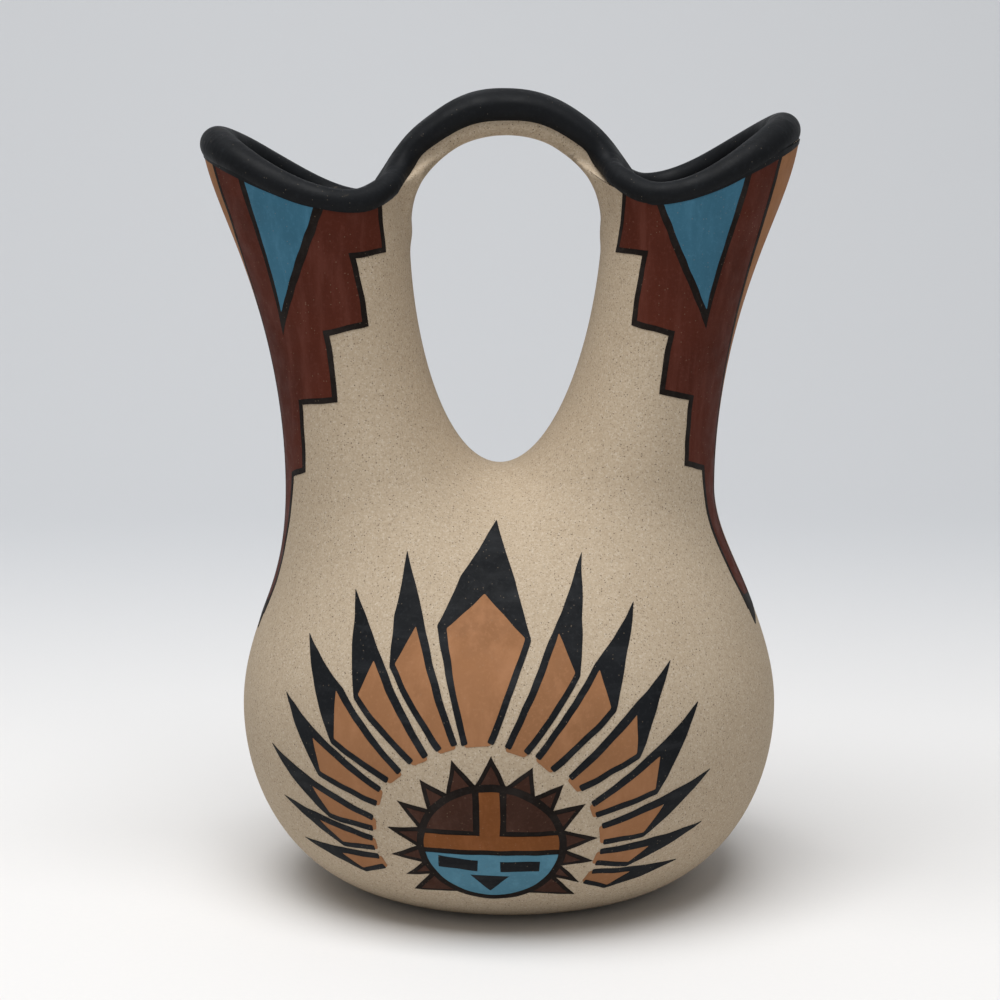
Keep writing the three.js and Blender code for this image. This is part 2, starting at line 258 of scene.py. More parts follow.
def leg_point(side, angle, z, inset):
    """Points round one side's half: from its inner side (0) round the front to the outer (pi)."""
    outer = outer_reach(z, inset)
    round_share = np.sin(angle / 2)
    neck = np.clip(share_of(z, CROTCH_HEIGHT - inset, YOKE_JOINT), 0, 1)
    x = mix(window_half(z, inset), outer, mix(round_share ** 2, round_share, neck))
    y = np.where(angle < math.pi, -1, 1) * half_depth(x, z, inset)
    shift = neck_shift(z) + window_shift(z) * (1 - round_share ** 2)
    return np.stack(np.broadcast_arrays(side * x + shift, y, z), -1)


def turn_from_window(angle):
    """Angle from a spout's inner side, the shorter way round."""
    return np.minimum(angle, 2 * np.pi - angle)


def root_share(near, z):
    """How much a place belongs to the handle's root, from its nearness to the window's top."""
    near_top = ease(share_of(z, WINDOW_WIDEST_HEIGHT - HANDLE_ROOT_LENGTH, WINDOW_WIDEST_HEIGHT))
    return near ** 3 * near_top


def root_inset(near, z):
    """The wall grows thicker inwards where the handle stands on it."""
    return (SKIN_ROOT_THICKNESS - WALL) * root_share(near, z)


def wall_point(side, angle, z, inner):
    if not inner:
        return leg_point(side, angle, z, 0)
    points = leg_point(side, angle, z, WALL)
    points[..., 0] += side * root_inset((1 + np.cos(angle)) / 2, z)
    return points


def wall_value(points, inner):
    """Below zero inside the surface, which is the outer skin or the skin of the hollow."""
    inset = WALL if inner else 0
    x, y, z = points[..., 0] - neck_shift(points[..., 2]), points[..., 1], points[..., 2]
    side = np.where(x < 0, -1.0, 1.0)
    outer = outer_reach(z, inset)
    pull = window_shift(z) / (outer - window_half(z, inset))
    across = (x - pull * outer) / (side - pull)
    if inner:
        thick = across
        for _ in range(3):
            near = 1 - np.clip(share_of(across, window_half(z, inset), outer), 0, 1)
            across = thick - root_inset(near, z)
    return y * y - depth_square(across, z, inset)


def wall_field(points, inner):
    """Distance to the surface, near it, and the direction away from it."""
    value = wall_value(points, inner)
    slopes = []
    for axis in range(3):
        step = np.zeros(3)
        step[axis] = NUDGE
        rise = wall_value(points + step, inner) - wall_value(points - step, inner)
        slopes.append(rise / (2 * NUDGE))
    slope = np.stack(slopes, -1)
    size = np.maximum(np.linalg.norm(slope, axis=-1), 1e-6)
    return value / size, slope / size[..., None]


def skin_normal(points, inner):
    return wall_field(points, inner)[1] * (-1 if inner else 1)


class Edge:
    """The slanting clay edge of one spout: high at its tip, low at its dip."""

    def __init__(self, side, tip, dip, back_drop):
        self.side = side
        self.tip = tip
        self.dip = dip
        self.back_drop = back_drop

    def height(self, angle, climb=RIM_CLIMB):
        turn = turn_from_window(angle)
        inner = self.dip + climb * (1 - ease(turn / DIP_ANGLE))
        outer = mix(self.dip, self.tip, ease(share_of(turn, DIP_ANGLE, np.pi)))
        away = np.where(turn < DIP_ANGLE, ease(turn / DIP_ANGLE),
                        1 - ease(share_of(turn, DIP_ANGLE, BACK_RISE_ANGLE)))
        lower = np.where(np.sin(angle) < 0, self.back_drop * away, 0)
        return np.where(turn < DIP_ANGLE, inner, outer) - lower

    def rim_radius(self, angle):
        turn = turn_from_window(angle)
        return mix(RIM_DIP_RADIUS, RIM_TIP_RADIUS, ease(share_of(turn, DIP_ANGLE, np.pi)))

    def rim_centre(self, angle):
        """Middle of the rim's roll, which stands a little proud of the spout's outer side."""
        z = self.height(angle)
        outer = leg_point(self.side, angle, z, 0)
        outward = outer - leg_point(self.side, angle, z, WALL)
        outward /= np.linalg.norm(outward, axis=-1)[..., None]
        radius = self.rim_radius(angle)
        centre = outer + outward * (RIM_OVERHANG - radius)[..., None]
        centre[..., 2] += radius * RIM_SEAT + JOINT_GAP
        return centre

    def arch_root(self):
        """Where the handle's roll starts: over the hollow's side of the thick root."""
        z = self.height(0.0, ROOT_RISE)
        centre = leg_point(self.side, 0.0, z, WALL)
        centre[0] += self.side * (HANDLE_ROOT_THICKNESS - 2 * WALL - RIM_OVERHANG + RIM_DIP_RADIUS)
        centre[2] += RIM_DIP_RADIUS * RIM_SEAT + JOINT_GAP
        return centre


LEFT_EDGE = Edge(-1, LEFT_TIP_HEIGHT, LEFT_DIP_HEIGHT, LEFT_BACK_DROP)
RIGHT_EDGE = Edge(1, RIGHT_TIP_HEIGHT, RIGHT_DIP_HEIGHT, 0)
EDGES = (LEFT_EDGE, RIGHT_EDGE)


def arch_point(share):
    """Middle of the handle's roll: a full cosine arch from the left rim (-1) to the right (1)."""
    share = np.asarray(share, float)
    rise = np.cos(np.pi / 2 * np.abs(share) ** HANDLE_FULLNESS)
    roots = [edge.arch_root() for edge in EDGES]
    root_x = np.where(share < 0, roots[0][0], roots[1][0])
    root_z = np.where(share < 0, roots[0][2], roots[1][2])
    top = HANDLE_TOP_HEIGHT - COIL_THICKNESS / 2
    x = mix(NECK_OFFSET + WINDOW_OFFSET, root_x, np.abs(share))
    haunch = np.exp(-((np.abs(share) - SWELL_SHARE) / SWELL_SPREAD) ** 2)
    swell = np.where(share < 0, *HANDLE_SWELL) * haunch
    z = mix(root_z, top, rise) + swell
    return np.stack([x, np.zeros_like(x), z], -1)


def arch_size(share):
    """Half thickness and half depth of the handle along its arch."""
    rise = np.cos(np.pi / 2 * share)
    thick = mix(COIL_ROOT_THICKNESS, COIL_THICKNESS, rise) / 2
    deep = mix(HANDLE_ROOT_DEPTH, HANDLE_DEPTH, np.clip(rise * 2, 0, 1)) / 2
    past = np.clip(share_of(np.abs(share), 1, HANDLE_REACH), 0, 1)
    return thick * (1 - END_THINNING * past), deep * (1 - END_NARROWING * past)


def smooth_union(first, second, reach):
    """Joins two fields with a fillet, and blends their directions the same way."""
    share = np.clip(0.5 + 0.5 * (second[0] - first[0]) / reach, 0, 1)
    value = mix(second[0], first[0], share) - reach * share * (1 - share)
    return value, mix(second[1], first[1], share[..., None])


def flipped(field):
    return -field[0], -field[1]


def smooth_cut(first, second, reach):
    """The part that two fields share, with its edge rounded."""
    return flipped(smooth_union(flipped(first), flipped(second), reach))


def plane_field(points, origin, normal):
    normal = np.asarray(normal, float)
    return (points - origin) @ normal, np.broadcast_to(normal, points.shape)


def loop_field(points, path, radius):
    """Distance to a closed round roll along a path, and the direction away from its middle."""
    best = np.full(len(points), np.inf)
    away = np.zeros_like(points)
    for start, end, r0, r1 in zip(path, np.roll(path, -1, 0), radius, np.roll(radius, -1)):
        run = end - start
        share = np.clip((points - start) @ run / (run @ run), 0, 1)
        offset = points - (start + share[:, None] * run)
        length = np.linalg.norm(offset, axis=1)
        value = length - mix(r0, r1, share)
        closer = value < best
        best[closer] = value[closer]
        away[closer] = offset[closer] / np.maximum(length[closer], 1e-9)[:, None]
    return best, away


ARCH_SHARES = np.linspace(-HANDLE_REACH, HANDLE_REACH, ARCH_STEPS)


def arch_frame(points):
    """Place of points against the handle's arch: share, offset outwards, and outward direction."""
    path = arch_point(ARCH_SHARES)[:, [0, 2]]
    flat = points[:, [0, 2]]
    best = np.full(len(points), np.inf)
    share = np.zeros(len(points))
    offset = np.zeros(len(points))
    out = np.zeros_like(flat)
    for step in range(len(path) - 1):
        run = path[step + 1] - path[step]
        along = np.clip((flat - path[step]) @ run / (run @ run), 0, 1)
        gap = flat - (path[step] + along[:, None] * run)
        length = np.linalg.norm(gap, axis=1)
        normal = np.array([-run[1], run[0]]) / np.linalg.norm(run)
        closer = length < best
        best[closer] = length[closer]
        share[closer] = mix(ARCH_SHARES[step], ARCH_SHARES[step + 1], along[closer])
        sign = np.where(gap @ normal < 0, -1, 1)
        offset[closer] = (sign * length)[closer]
        outward = sign[:, None] * gap / np.maximum(length, 1e-9)[:, None]
        out[closer] = outward[closer]
    return share, offset, np.stack([out[:, 0], np.zeros(len(out)), out[:, 1]], -1)


def coil_field(points, settings):
    """The handle's roll: an oval section that follows the arch."""
    share, offset, out = arch_frame(points)
    thick, deep = arch_size(share)
    thick = thick * np.where(offset < 0, settings.roll_drop, 1)
    power = np.where(offset < 0, settings.roll_fullness, 2)
    y = points[:, 1]
    up, front = np.abs(offset) / thick, np.abs(y) / deep
    near = np.maximum((up ** power + front ** power) ** (1 / power), LEAST_REACH)
    up_slope = np.sign(offset) * (up / near) ** (power - 1) / thick
    front_slope = np.sign(y) * (front / near) ** (power - 1) / deep
    slope = out * up_slope[:, None]
    slope[:, 1] += front_slope
    size = np.maximum(np.linalg.norm(slope, axis=1), 1)
    return (near - 1) / size, slope / size[:, None]


def window_field(points):
    """Above zero inside the window, which is an upright half ellipse over straight sides."""
    middle = np.array([NECK_OFFSET + WINDOW_OFFSET, 0, WINDOW_WIDEST_HEIGHT])
    arm = (points - middle) * [1, 0, 1]
    arm[:, 2] = np.maximum(arm[:, 2], 0)
    size = np.array([WINDOW_HALF_WIDTH, 1, WINDOW_ARCH_RISE])
    near = np.maximum(np.linalg.norm(arm / size, axis=1), LEAST_REACH)
    slope = arm / size ** 2 / near[:, None]
    steep = np.maximum(np.linalg.norm(slope, axis=1), 1e-6)
    return (1 - near) / steep, -slope / steep[:, None]


def strap_field(points, settings):
    """The clay strap between the window's round top and the handle's roll."""
    share, offset, out = arch_frame(points)
    deep = arch_size(share)[1] - settings.strap_recess
    y = points[:, 1]
    front = np.where(y < 0, -1.0, 1.0)
    sides = np.abs(y) - deep, np.stack([np.zeros_like(y), front, np.zeros_like(y)], -1)
    body = smooth_cut(sides, window_field(points), settings.strap_rounding)
    body = smooth_cut(body, (offset, out), NUDGE)
    foot = plane_field(points, [0, 0, WINDOW_WIDEST_HEIGHT + settings.strap_foot], [0, 0, -1])
    return smooth_cut(body, foot, settings.strap_foot_reach)


def edge_field(points):
    """Height over the spouts' slanting edges, and how near the handle's root a point is."""
    x = points[:, 0] - neck_shift(points[:, 2])
    z = points[:, 2]
    inner, outer = window_half(z, 0), outer_reach(z, 0)
    turn = 2 * np.arcsin(np.sqrt(np.clip(share_of(np.abs(x), inner, outer), 0, 1)))
    turn = np.where(points[:, 1] < 0, turn, 2 * np.pi - turn)
    top = np.where(x < 0, LEFT_EDGE.height(turn), RIGHT_EDGE.height(turn))
    near = 1 - ease(turn_from_window(turn) / ROOT_ANGLE)
    return z - top, np.broadcast_to([0.0, 0.0, 1.0], points.shape), near


def clay_top_field(points, settings):
    """The two spouts and the strap, as one piece of clay round its hollow."""
    level, up, root = edge_field(points)
    rounding = NUDGE + settings.root_rounding * root
    body = smooth_cut(wall_field(points, False), (level - settings.wall_raise, up), rounding)
    above = points[:, 2] > WINDOW_WIDEST_HEIGHT - STRAP_DEPTH
    near = above & (np.abs(points[:, 0]) < STRAP_REACH)
    strap = np.ones(len(points)), np.zeros_like(points)
    strap[0][near], strap[1][near] = strap_field(points[near], settings)
    body = smooth_union(body, strap, settings.root_fillet)
    value, away = window_field(points)
    low = np.maximum(0, WINDOW_WIDEST_HEIGHT - points[:, 2])
    low = low * (WINDOW_EASE[0] + WINDOW_EASE[1] * low)
    body = smooth_cut(body, (value - settings.window_trim - low, away), 2 * settings.window_trim)
    hollow = smooth_cut(wall_field(points, True), (level - 2 * settings.wall_raise, up), NUDGE)
    return smooth_cut(body, flipped(hollow), NUDGE)


def rim_path(edge, settings):
    """Middle and radius of one rim's roll. Both tips were pressed a little to the left."""
    angles = np.linspace(0, 2 * np.pi, RIM_STEPS, endpoint=False)
    turn = turn_from_window(angles)
    centre = edge.rim_centre(angles)
    centre[:, 0] += edge.side * settings.root_shift * (1 - ease(share_of(turn, *RIM_SHIFT_ANGLES)))
    tip_share = ease(share_of(turn, DIP_ANGLE, np.pi))
    centre[:, 0] -= settings.rim_lean * tip_share
    slim = 1 - settings.root_slimming * (1 - ease(turn / RIM_THINNING_ANGLE))
    return centre, edge.rim_radius(angles) * slim


def lip_field(points, settings):
    """Both rims and the handle's roll, run together as one rounded lip."""
    left, right = (loop_field(points, *rim_path(edge, settings)) for edge in EDGES)
    value, away = smooth_union(left, right, NUDGE)
    value, away = smooth_union((value, away), coil_field(points, settings), settings.lip_fillet)
    waves = [noise.noise(Vector(point) / settings.lip_wave_length) for point in points]
    return value - np.array(waves) * settings.lip_wave_height, away


def settled(points, field, passes=3):
    """Moves points on to the surface of a field, and gives its direction there."""
    for _ in range(passes):
        value, away = field(points)
        size = np.maximum(np.linalg.norm(away, axis=1), LEAST_SLOPE)[:, None]
        points = points - np.clip(value, -LONGEST_MOVE, LONGEST_MOVE)[:, None] * away / size
    away = field(points)[1]
    return points, away / np.maximum(np.linalg.norm(away, axis=1), 1e-9)[:, None]


def new_mesh(name, points, faces):
    mesh = bpy.data.meshes.new(name)
    mesh.from_pydata([tuple(point) for point in points], [], faces)
    mesh.validate()
    return mesh


def new_piece(name, mesh, material, slot, nodes=()):
    """Puts a finished mesh in the scene as a piece of the vase."""
    if len(mesh.polygons) == 0:
        raise RuntimeError(f"{name} has no faces")
    mesh.materials.clear()
    mesh.materials.append(material)
    piece = bpy.data.objects.new(name, mesh)
    bpy.context.scene.collection.objects.link(piece)
    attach(piece, "root")
    if nodes:
        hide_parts(*nodes)
    return piece


def shade(mesh, corner_normals):
    """Smooth shading with a given normal for each corner of each face."""
    mesh.shade_smooth()
    mesh.normals_split_custom_set([tuple(normal) for normal in corner_normals])


class Skin:
    """Gathers points and faces, with a kind for each face that says which normal it takes."""

    def __init__(self):
        self.points = []
        self.faces = []
        self.kinds = []

    def add_grid(self, grid, kind, reverse):
        rows, steps = grid.shape[:2]
        start = len(self.points)
        self.points.extend(grid.reshape(-1, 3))
        for row in range(rows - 1):
            for step in range(steps - 1):
                corner = start + row * steps + step
                face = (corner, corner + 1, corner + steps + 1, corner + steps)
                self.faces.append(face[::-1] if reverse else face)
                self.kinds.append(kind)

    def to_mesh(self, name):
        """Merges equal points, drops faces that fold up, and shades each face by its kind."""
        points = np.array(self.points)
        keys = np.round(points * MERGE_STEPS).astype(np.int64)
        _, first, index = np.unique(keys, axis=0, return_index=True, return_inverse=True)
        index = index.reshape(-1)
        faces = []
        kinds = []
        for face, kind in zip(self.faces, self.kinds):
            merged = []
            for corner in face:
                if index[corner] not in merged:
                    merged.append(int(index[corner]))
            if len(merged) > 2:
                faces.append(merged)
                kinds.append(kind)
        points = points[first]
        mesh = new_mesh(name, points, faces)
        if len(mesh.polygons) != len(faces):
            raise RuntimeError(f"{name} lost faces")
        outward = {"outer": skin_normal(points, False), "inner": skin_normal(points, True)}
        normals = []
        for polygon, kind in zip(mesh.polygons, kinds):
            for corner in polygon.vertices:
                normals.append(outward[kind][corner] if kind in outward else polygon.normal)
        shade(mesh, normals)
        return mesh


def row_heights(low, high):
    return np.linspace(low, high, max(2, round((high - low) / ROW_HEIGHT)) + 1)


def wall_band(name, low, high):
    """A closed band of the vessel's wall between two level joints."""
    skin = Skin()
    heights = row_heights(low, high)
    if low < CROTCH_HEIGHT < high:
        shares = np.linspace(-1, 1, CROTCH_ROWS)
        spread = CROTCH_REACH * shares * np.abs(shares)
        extra = np.concatenate([CROTCH_HEIGHT + spread, CROTCH_HEIGHT - WALL + spread])
        heights = np.unique(np.round(np.append(heights, extra), 7))
    angles = np.linspace(0, 2 * np.pi, 2 * RING_STEPS + 1)
    for side in (-1, 1):
        turn = angles if side > 0 else angles[::-1]
        outer = wall_point(side, turn[None, :], heights[:, None], False)
        inner = wall_point(side, turn[None, :], heights[:, None], True)
        skin.add_grid(outer, "outer", False)
        skin.add_grid(inner, "inner", True)
        skin.add_grid(np.stack([outer[-1], inner[-1]]), "joint", False)
        skin.add_grid(np.stack([outer[0], inner[0]]), "joint", True)
    return skin.to_mesh(name)


def foot_mesh(name):
    """The floor of the vase: a turned disc with a soft edge at the foot."""
    angles = np.linspace(0, 2 * np.pi, 4 * RING_STEPS + 1)
    heights = FLOOR_JOINT * np.linspace(0, 1, FOOT_ROWS) ** 2
    reach = body_reach(heights, 0, 0)
    ring = np.stack([np.cos(angles), np.sin(angles)], -1)
    skin = Skin()
    side = np.concatenate([reach[:, None, None] * ring[None], np.broadcast_to(
        heights[:, None, None], (len(heights), len(angles), 1))], -1)
    skin.add_grid(side, "outer", False)
    for z, reverse, radius in ((0.0, True, reach[0]), (FLOOR_JOINT, False, reach[-1])):
        radii = np.linspace(1, 0, FOOT_RINGS) * radius
        disc = np.concatenate([radii[:, None, None] * ring[None],
                               np.full((len(radii), len(angles), 1), z)], -1)
        skin.add_grid(disc, "joint", reverse)
    return skin.to_mesh(name)


def tube_grid(path, ups, half_up, half_deep, steps=24):
    """Rings of an oval tube along a path, each across the path's direction."""
    along = np.gradient(path, axis=0)
    along /= np.linalg.norm(along, axis=1)[:, None]
    across = np.cross(along, ups)
    across /= np.linalg.norm(across, axis=1)[:, None]
    up = np.cross(across, along)
    turn = np.linspace(0, 2 * np.pi, steps, endpoint=False)
    return (path[:, None] + np.cos(turn)[None, :, None] * (across * half_deep[:, None])[:, None]
            + np.sin(turn)[None, :, None] * (up * half_up[:, None])[:, None])


def tube_mesh(grid, closed):
    """A closed tube from its rings, joined end to end or capped."""
    rows, steps = grid.shape[:2]
    faces = []
    for row in range(rows if closed else rows - 1):
        for step in range(steps):
            a, b = row * steps, (row + 1) % rows * steps
            faces.append((a + step, a + (step + 1) % steps, b + (step + 1) % steps, b + step))
    if not closed:
        faces.append(tuple(range(steps))[::-1])
        faces.append(tuple((rows - 1) * steps + step for step in range(steps)))
    return grid.reshape(-1, 3), faces


def remeshed(name, shapes, voxel):
    """Runs closed shapes together into one even skin."""
    points = []
    faces = []
    for shape_points, shape_faces in shapes:
        start = len(points)
        points.extend(shape_points)
        faces.extend([tuple(start + corner for corner in face) for face in shape_faces])
    mesh = new_mesh(name, points, faces)
    holder = bpy.data.objects.new(name, mesh)
    bpy.context.scene.collection.objects.link(holder)
    remesh = holder.modifiers.new("even skin", "REMESH")
    remesh.mode = "VOXEL"
    remesh.voxel_size = voxel
    depsgraph = bpy.context.evaluated_depsgraph_get()
    even = bpy.data.meshes.new_from_object(holder.evaluated_get(depsgraph))
    bpy.data.objects.remove(holder)
    bpy.data.meshes.remove(mesh)
    if len(even.vertices) == 0:
        raise RuntimeError(f"{name} came out empty")
    return even


def vertex_array(mesh):
    points = np.zeros(len(mesh.vertices) * 3)
    mesh.vertices.foreach_get("co", points)
    return points.reshape(-1, 3)


def face_list(mesh):
    return [tuple(polygon.vertices) for polygon in mesh.polygons]


def cut_faces(points, faces, origin, normal, where):
    """Cuts the faces that a test picks by a plane, so that none of them crosses it."""
    height = (points - origin) @ np.asarray(normal, float)
    height[np.abs(height) < 1e-7] = 0
    points = list(points)
    made = {}
    result = []

    def crossing(a, b):
        key = (min(a, b), max(a, b))
        if key not in made:
            share = height[key[0]] / (height[key[0]] - height[key[1]])
            made[key] = len(points)
            points.append(mix(points[key[0]], points[key[1]], share))
        return made[key]

    for face in faces:
        levels = [height[corner] for corner in face]
        if min(levels) >= 0 or max(levels) <= 0 or not where(np.mean([points[c] for c in face], 0)):
            result.append(face)
            continue
        upper, lower = [], []
        for corner, after in zip(face, face[1:] + face[:1]):
            if height[corner] >= 0:
                upper.append(corner)
            if height[corner] <= 0:
                lower.append(corner)
            if height[corner] * height[after] < 0:
                new = crossing(corner, after)
                upper.append(new)
                lower.append(new)
        result.extend(tuple(part) for part in (upper, lower) if len(part) > 2)
    return np.array(points), result


def ring_cap(points, loops):
    """Flat triangles, facing down, between a wall's outer loop and the loop of its hollow."""
    corners = [corner for loop in loops for corner in loop]
    faces = []
    for triangle in tessellate_polygon([[Vector(points[c]) for c in loop] for loop in loops]):
        face = tuple(corners[number] for number in triangle)
        start, middle, end = (points[corner] for corner in face)
        upward = np.cross(middle - start, end - start)[2] > 0
        faces.append(face[::-1] if upward else face)
    return faces


def capped_part(name, points, faces, normals):
    """A mesh of some faces of a form, with flat caps over its open loops."""
    used = sorted({corner for face in faces for corner in face})
    place = {corner: number for number, corner in enumerate(used)}
    faces = [tuple(place[corner] for corner in face) for face in faces]
    edges = {(a, b) for face in faces for a, b in zip(face, face[1:] + face[:1])}
    follow = {b: a for a, b in edges if (b, a) not in edges}
    points = points[used]
    caps, foot = [], []
    while follow:
        start = next(iter(sorted(follow)))
        loop = [start]
        while follow[loop[-1]] != start:
            loop.append(follow.pop(loop[-1]))
        follow.pop(loop[-1])
        low = all(abs(points[corner][2] - SPOUT_JOINT) < NUDGE / 10 for corner in loop)
        (foot if low else caps).append(tuple(loop))
    caps += ring_cap(points, foot)
    mesh = new_mesh(name, points, faces + caps)
    corner_normals = []
    for polygon in mesh.polygons:
        for corner in polygon.vertices:
            smooth = polygon.index < len(faces)
            corner_normals.append(normals[used[corner]] if smooth else polygon.normal)
    shade(mesh, corner_normals)
    return mesh


class BodyChart:
    """Flat drawing coordinates of the bowl: u round the belly, v along the side from the belly."""

    # Lowest and highest row of the chart's table, and how many there are
    table = (0.0005, 0.16, 1500)

    def __init__(self, facing):
        self.facing = facing
        self.z = np.linspace(*self.table)
        reach = body_reach(self.z, 0, WAIST_HALF_WIDTH)
        run = np.append(0, np.cumsum(np.hypot(np.diff(self.z), np.diff(reach))))
        self.v = run - np.interp(BELLY_HEIGHT, self.z, run)

    def place(self, flat):
        z = np.interp(flat[:, 1], self.v, self.z)
        x = outer_reach(z, 0) * np.sin(flat[:, 0] / BELLY_RADIUS)
        y = -half_depth(x, z, 0)
        return np.stack([self.facing * x + neck_shift(z), self.facing * y, z], -1)


class SpoutChart:
    """Flat drawing coordinates of one spout: w from its outer side forwards, and the height."""

    # Rows of the chart's table by height, its columns by width, and the angles that it is read from
    table = (0.08, 0.256, 177)
    span = (0.13, 521)
    steps = 400
    settling = 12

    def __init__(self, edge, facing):
        self.edge = edge
        self.facing = facing
        self.z = np.linspace(*self.table)
        self.w = np.linspace(0, *self.span)
        angles = np.linspace(np.pi, 0, self.steps)
        rows = leg_point(1, angles[None, :], self.z[:, None], 0)
        steps = np.linalg.norm(np.diff(rows, axis=1), axis=2)
        runs = np.concatenate([np.zeros((len(self.z), 1)), np.cumsum(steps, 1)], 1)
        self.angle = np.stack([np.interp(self.w, run, angles) for run in runs])

    def turn(self, w, z):
        """The angle round the spout, read between the rows of the table."""
        row = np.clip((z - self.z[0]) / (self.z[1] - self.z[0]), 0, len(self.z) - 1.001)
        step = np.clip(np.abs(w) / (self.w[1] - self.w[0]), 0, len(self.w) - 1.001)
        r, s = row.astype(int), step.astype(int)
        low = mix(self.angle[r, s], self.angle[r, s + 1], step - s)
        high = mix(self.angle[r + 1, s], self.angle[r + 1, s + 1], step - s)
        return mix(low, high, row - r)

    def rim(self, w):
        """Height of the clay's edge at a place along the rim."""
        z = np.full_like(w, self.edge.dip)
        for _ in range(self.settling):
            z = mix(z, self.edge.height(self.turn(w, z)), 0.7)
        return z

    def rim_points(self, across):
        """Points a little above the clay's edge, where painted outlines end behind the rim."""
        across = np.asarray(across, float)
        return np.stack([across, self.rim(across) + RIM_OVERLAP], -1)

    def place(self, flat):
        w, z = flat[:, 0], flat[:, 1]
        points = leg_point(self.edge.side, self.turn(w, z), z, 0)
        points[:, 1] *= self.facing * np.where(w < 0, -1, 1)
        return points


def stroke(path, widths):
    """Outline of a brush line along a path, with mitred corners."""
    path = np.asarray(path, float)
    widths = np.broadcast_to(widths, len(path))
    runs = np.diff(path, axis=0)
    runs /= np.linalg.norm(runs, axis=1)[:, None]
    before = np.vstack([runs[:1], runs])
    after = np.vstack([runs, runs[-1:]])
    bend = before + after
    bend /= np.linalg.norm(bend, axis=1)[:, None]
    across = np.stack([-bend[:, 1], bend[:, 0]], -1)
    stretch = np.maximum(0.5, np.sum(bend * before, axis=1))
    offset = across * (widths / 2 / stretch)[:, None]
    return np.vstack([path + offset, (path - offset)[::-1]])


def rounded(outline, radius, steps=3):
    """Softens the corners of an outline."""
    result = []
    count = len(outline)
    for number, corner in enumerate(outline):
        for other in (outline[number - 1], outline[(number + 1) % count]):
            run = np.asarray(other) - corner
            length = np.linalg.norm(run)
            result.append(corner + run * min(radius / max(length, 1e-9), 0.45))
    softened = []
    for number, corner in enumerate(outline):
        start, end = result[2 * number], result[2 * number + 1]
        for share in np.linspace(0, 1, steps + 1):
            softened.append(mix(mix(start, corner, share), mix(corner, end, share), share))
    return np.array(softened)


def waved(outline, settings, seed):
    """An outline in short steps that wavers a little, as a brush does."""
    outline = np.asarray(outline, float)
    points = []
    for start, end in zip(outline, np.roll(outline, -1, 0)):
        steps = max(1, math.ceil(np.linalg.norm(end - start) / settings.brush_step))
        points.extend(mix(start, end, step / steps) for step in range(steps))
    wavered = []
    for point in points:
        place = Vector((point[0], point[1], seed * settings.waver_length)) / settings.waver_length
        drift = noise.noise_vector(place)
        wavered.append(point + np.array(drift[:2]) * settings.waver)
    return np.array(wavered)


def flat_patch(outline):
    """Triangles inside a flat outline, cut along a square grid so that they can follow the clay."""
    form = bmesh.new()
    corners = [form.verts.new((u, v, 0)) for u, v in outline]
    for triangle in tessellate_polygon([[Vector((u, v, 0)) for u, v in outline]]):
        if len(set(triangle)) == 3:
            form.faces.new([corners[number] for number in triangle])
    for axis in (0, 1):
        low, high = outline[:, axis].min(), outline[:, axis].max()
        for line in range(math.ceil(low / PAINT_CELL), math.floor(high / PAINT_CELL) + 1):
            place = Vector((0, 0, 0))
            normal = Vector((0, 0, 0))
            place[axis] = line * PAINT_CELL
            normal[axis] = 1
            everything = form.verts[:] + form.edges[:] + form.faces[:]
            bmesh.ops.bisect_plane(form, geom=everything, dist=1e-6, plane_co=place,
                                   plane_no=normal)
    bmesh.ops.triangulate(form, faces=form.faces)
    form.verts.index_update()
    points = np.array([vertex.co[:2] for vertex in form.verts])
    faces = []
    for face in form.faces:
        a, b, c = (vertex.index for vertex in face.verts)
        area = np.cross(points[b] - points[a], points[c] - points[a])
        if abs(area) > LEAST_AREA:
            faces.append((a, b, c) if area > 0 else (a, c, b))
    form.free()
    return points, faces


class Coat:
    """A thin closed coat of slip, gathered from flat shapes that are laid on the vase."""

    def __init__(self, settings, thickness):
        self.settings = settings
        self.thickness = thickness
        self.points = []
        self.normals = []
        self.faces = []

    def draw(self, chart, outline):
        """Lays a flat shape on the vase, by the chart that it is drawn on."""
        flat, faces = flat_patch(waved(outline, self.settings, len(self.points) % WAVER_COUNT))
        surface = chart.place(flat)
        self.lay(surface, skin_normal(surface, False), faces)

    def lay(self, surface, outward, faces):
        """Adds a closed patch: its top, its underside inside the clay and the walls between."""
        a, b, c = (surface[[face[corner] for face in faces]] for corner in range(3))
        facing = np.sum(np.cross(b - a, c - a) * outward[[face[0] for face in faces]])
        if facing < 0:
            faces = [face[::-1] for face in faces]
        start = len(self.points)
        count = len(surface)
        self.points.extend(surface + outward * self.thickness)
        self.points.extend(surface - outward * self.settings.slip_bite)
        self.normals.extend(outward)
        self.normals.extend(outward)
        edges = {(p, q) for face in faces for p, q in zip(face, face[1:] + face[:1])}
        self.faces.extend(tuple(start + corner for corner in face) for face in faces)
        self.faces.extend(tuple(start + count + corner for corner in face[::-1]) for face in faces)
        for p, q in sorted(edges):
            if (q, p) not in edges:
                wall = (count + p, count + q, q, p)
                self.faces.append(tuple(start + corner for corner in wall))

    def finish(self, name, material, slot):
        mesh = new_mesh(name, self.points, self.faces)
        normals = []
        for polygon in mesh.polygons:
            normal = polygon.normal
            for corner in polygon.vertices:
                outward = self.normals[corner]
                under = normal.dot(Vector(outward)) < -0.5
                normals.append(-outward if under else outward)
        shade(mesh, normals)
        return new_piece(name, mesh, material, slot)


def srgb(red, green, blue):
    """A colour from 0-255 values to the linear values that shaders take."""
    shares = (value / 255 for value in (red, green, blue))
    return tuple(s / 12.92 if s <= 0.04045 else ((s + 0.055) / 1.055) ** 2.4 for s in shares)


def colour_property(name, description, red, green, blue):
    return FloatVectorProperty(name=name, description=description, subtype="COLOR", size=3,
                               min=0, max=1, default=srgb(red, green, blue))


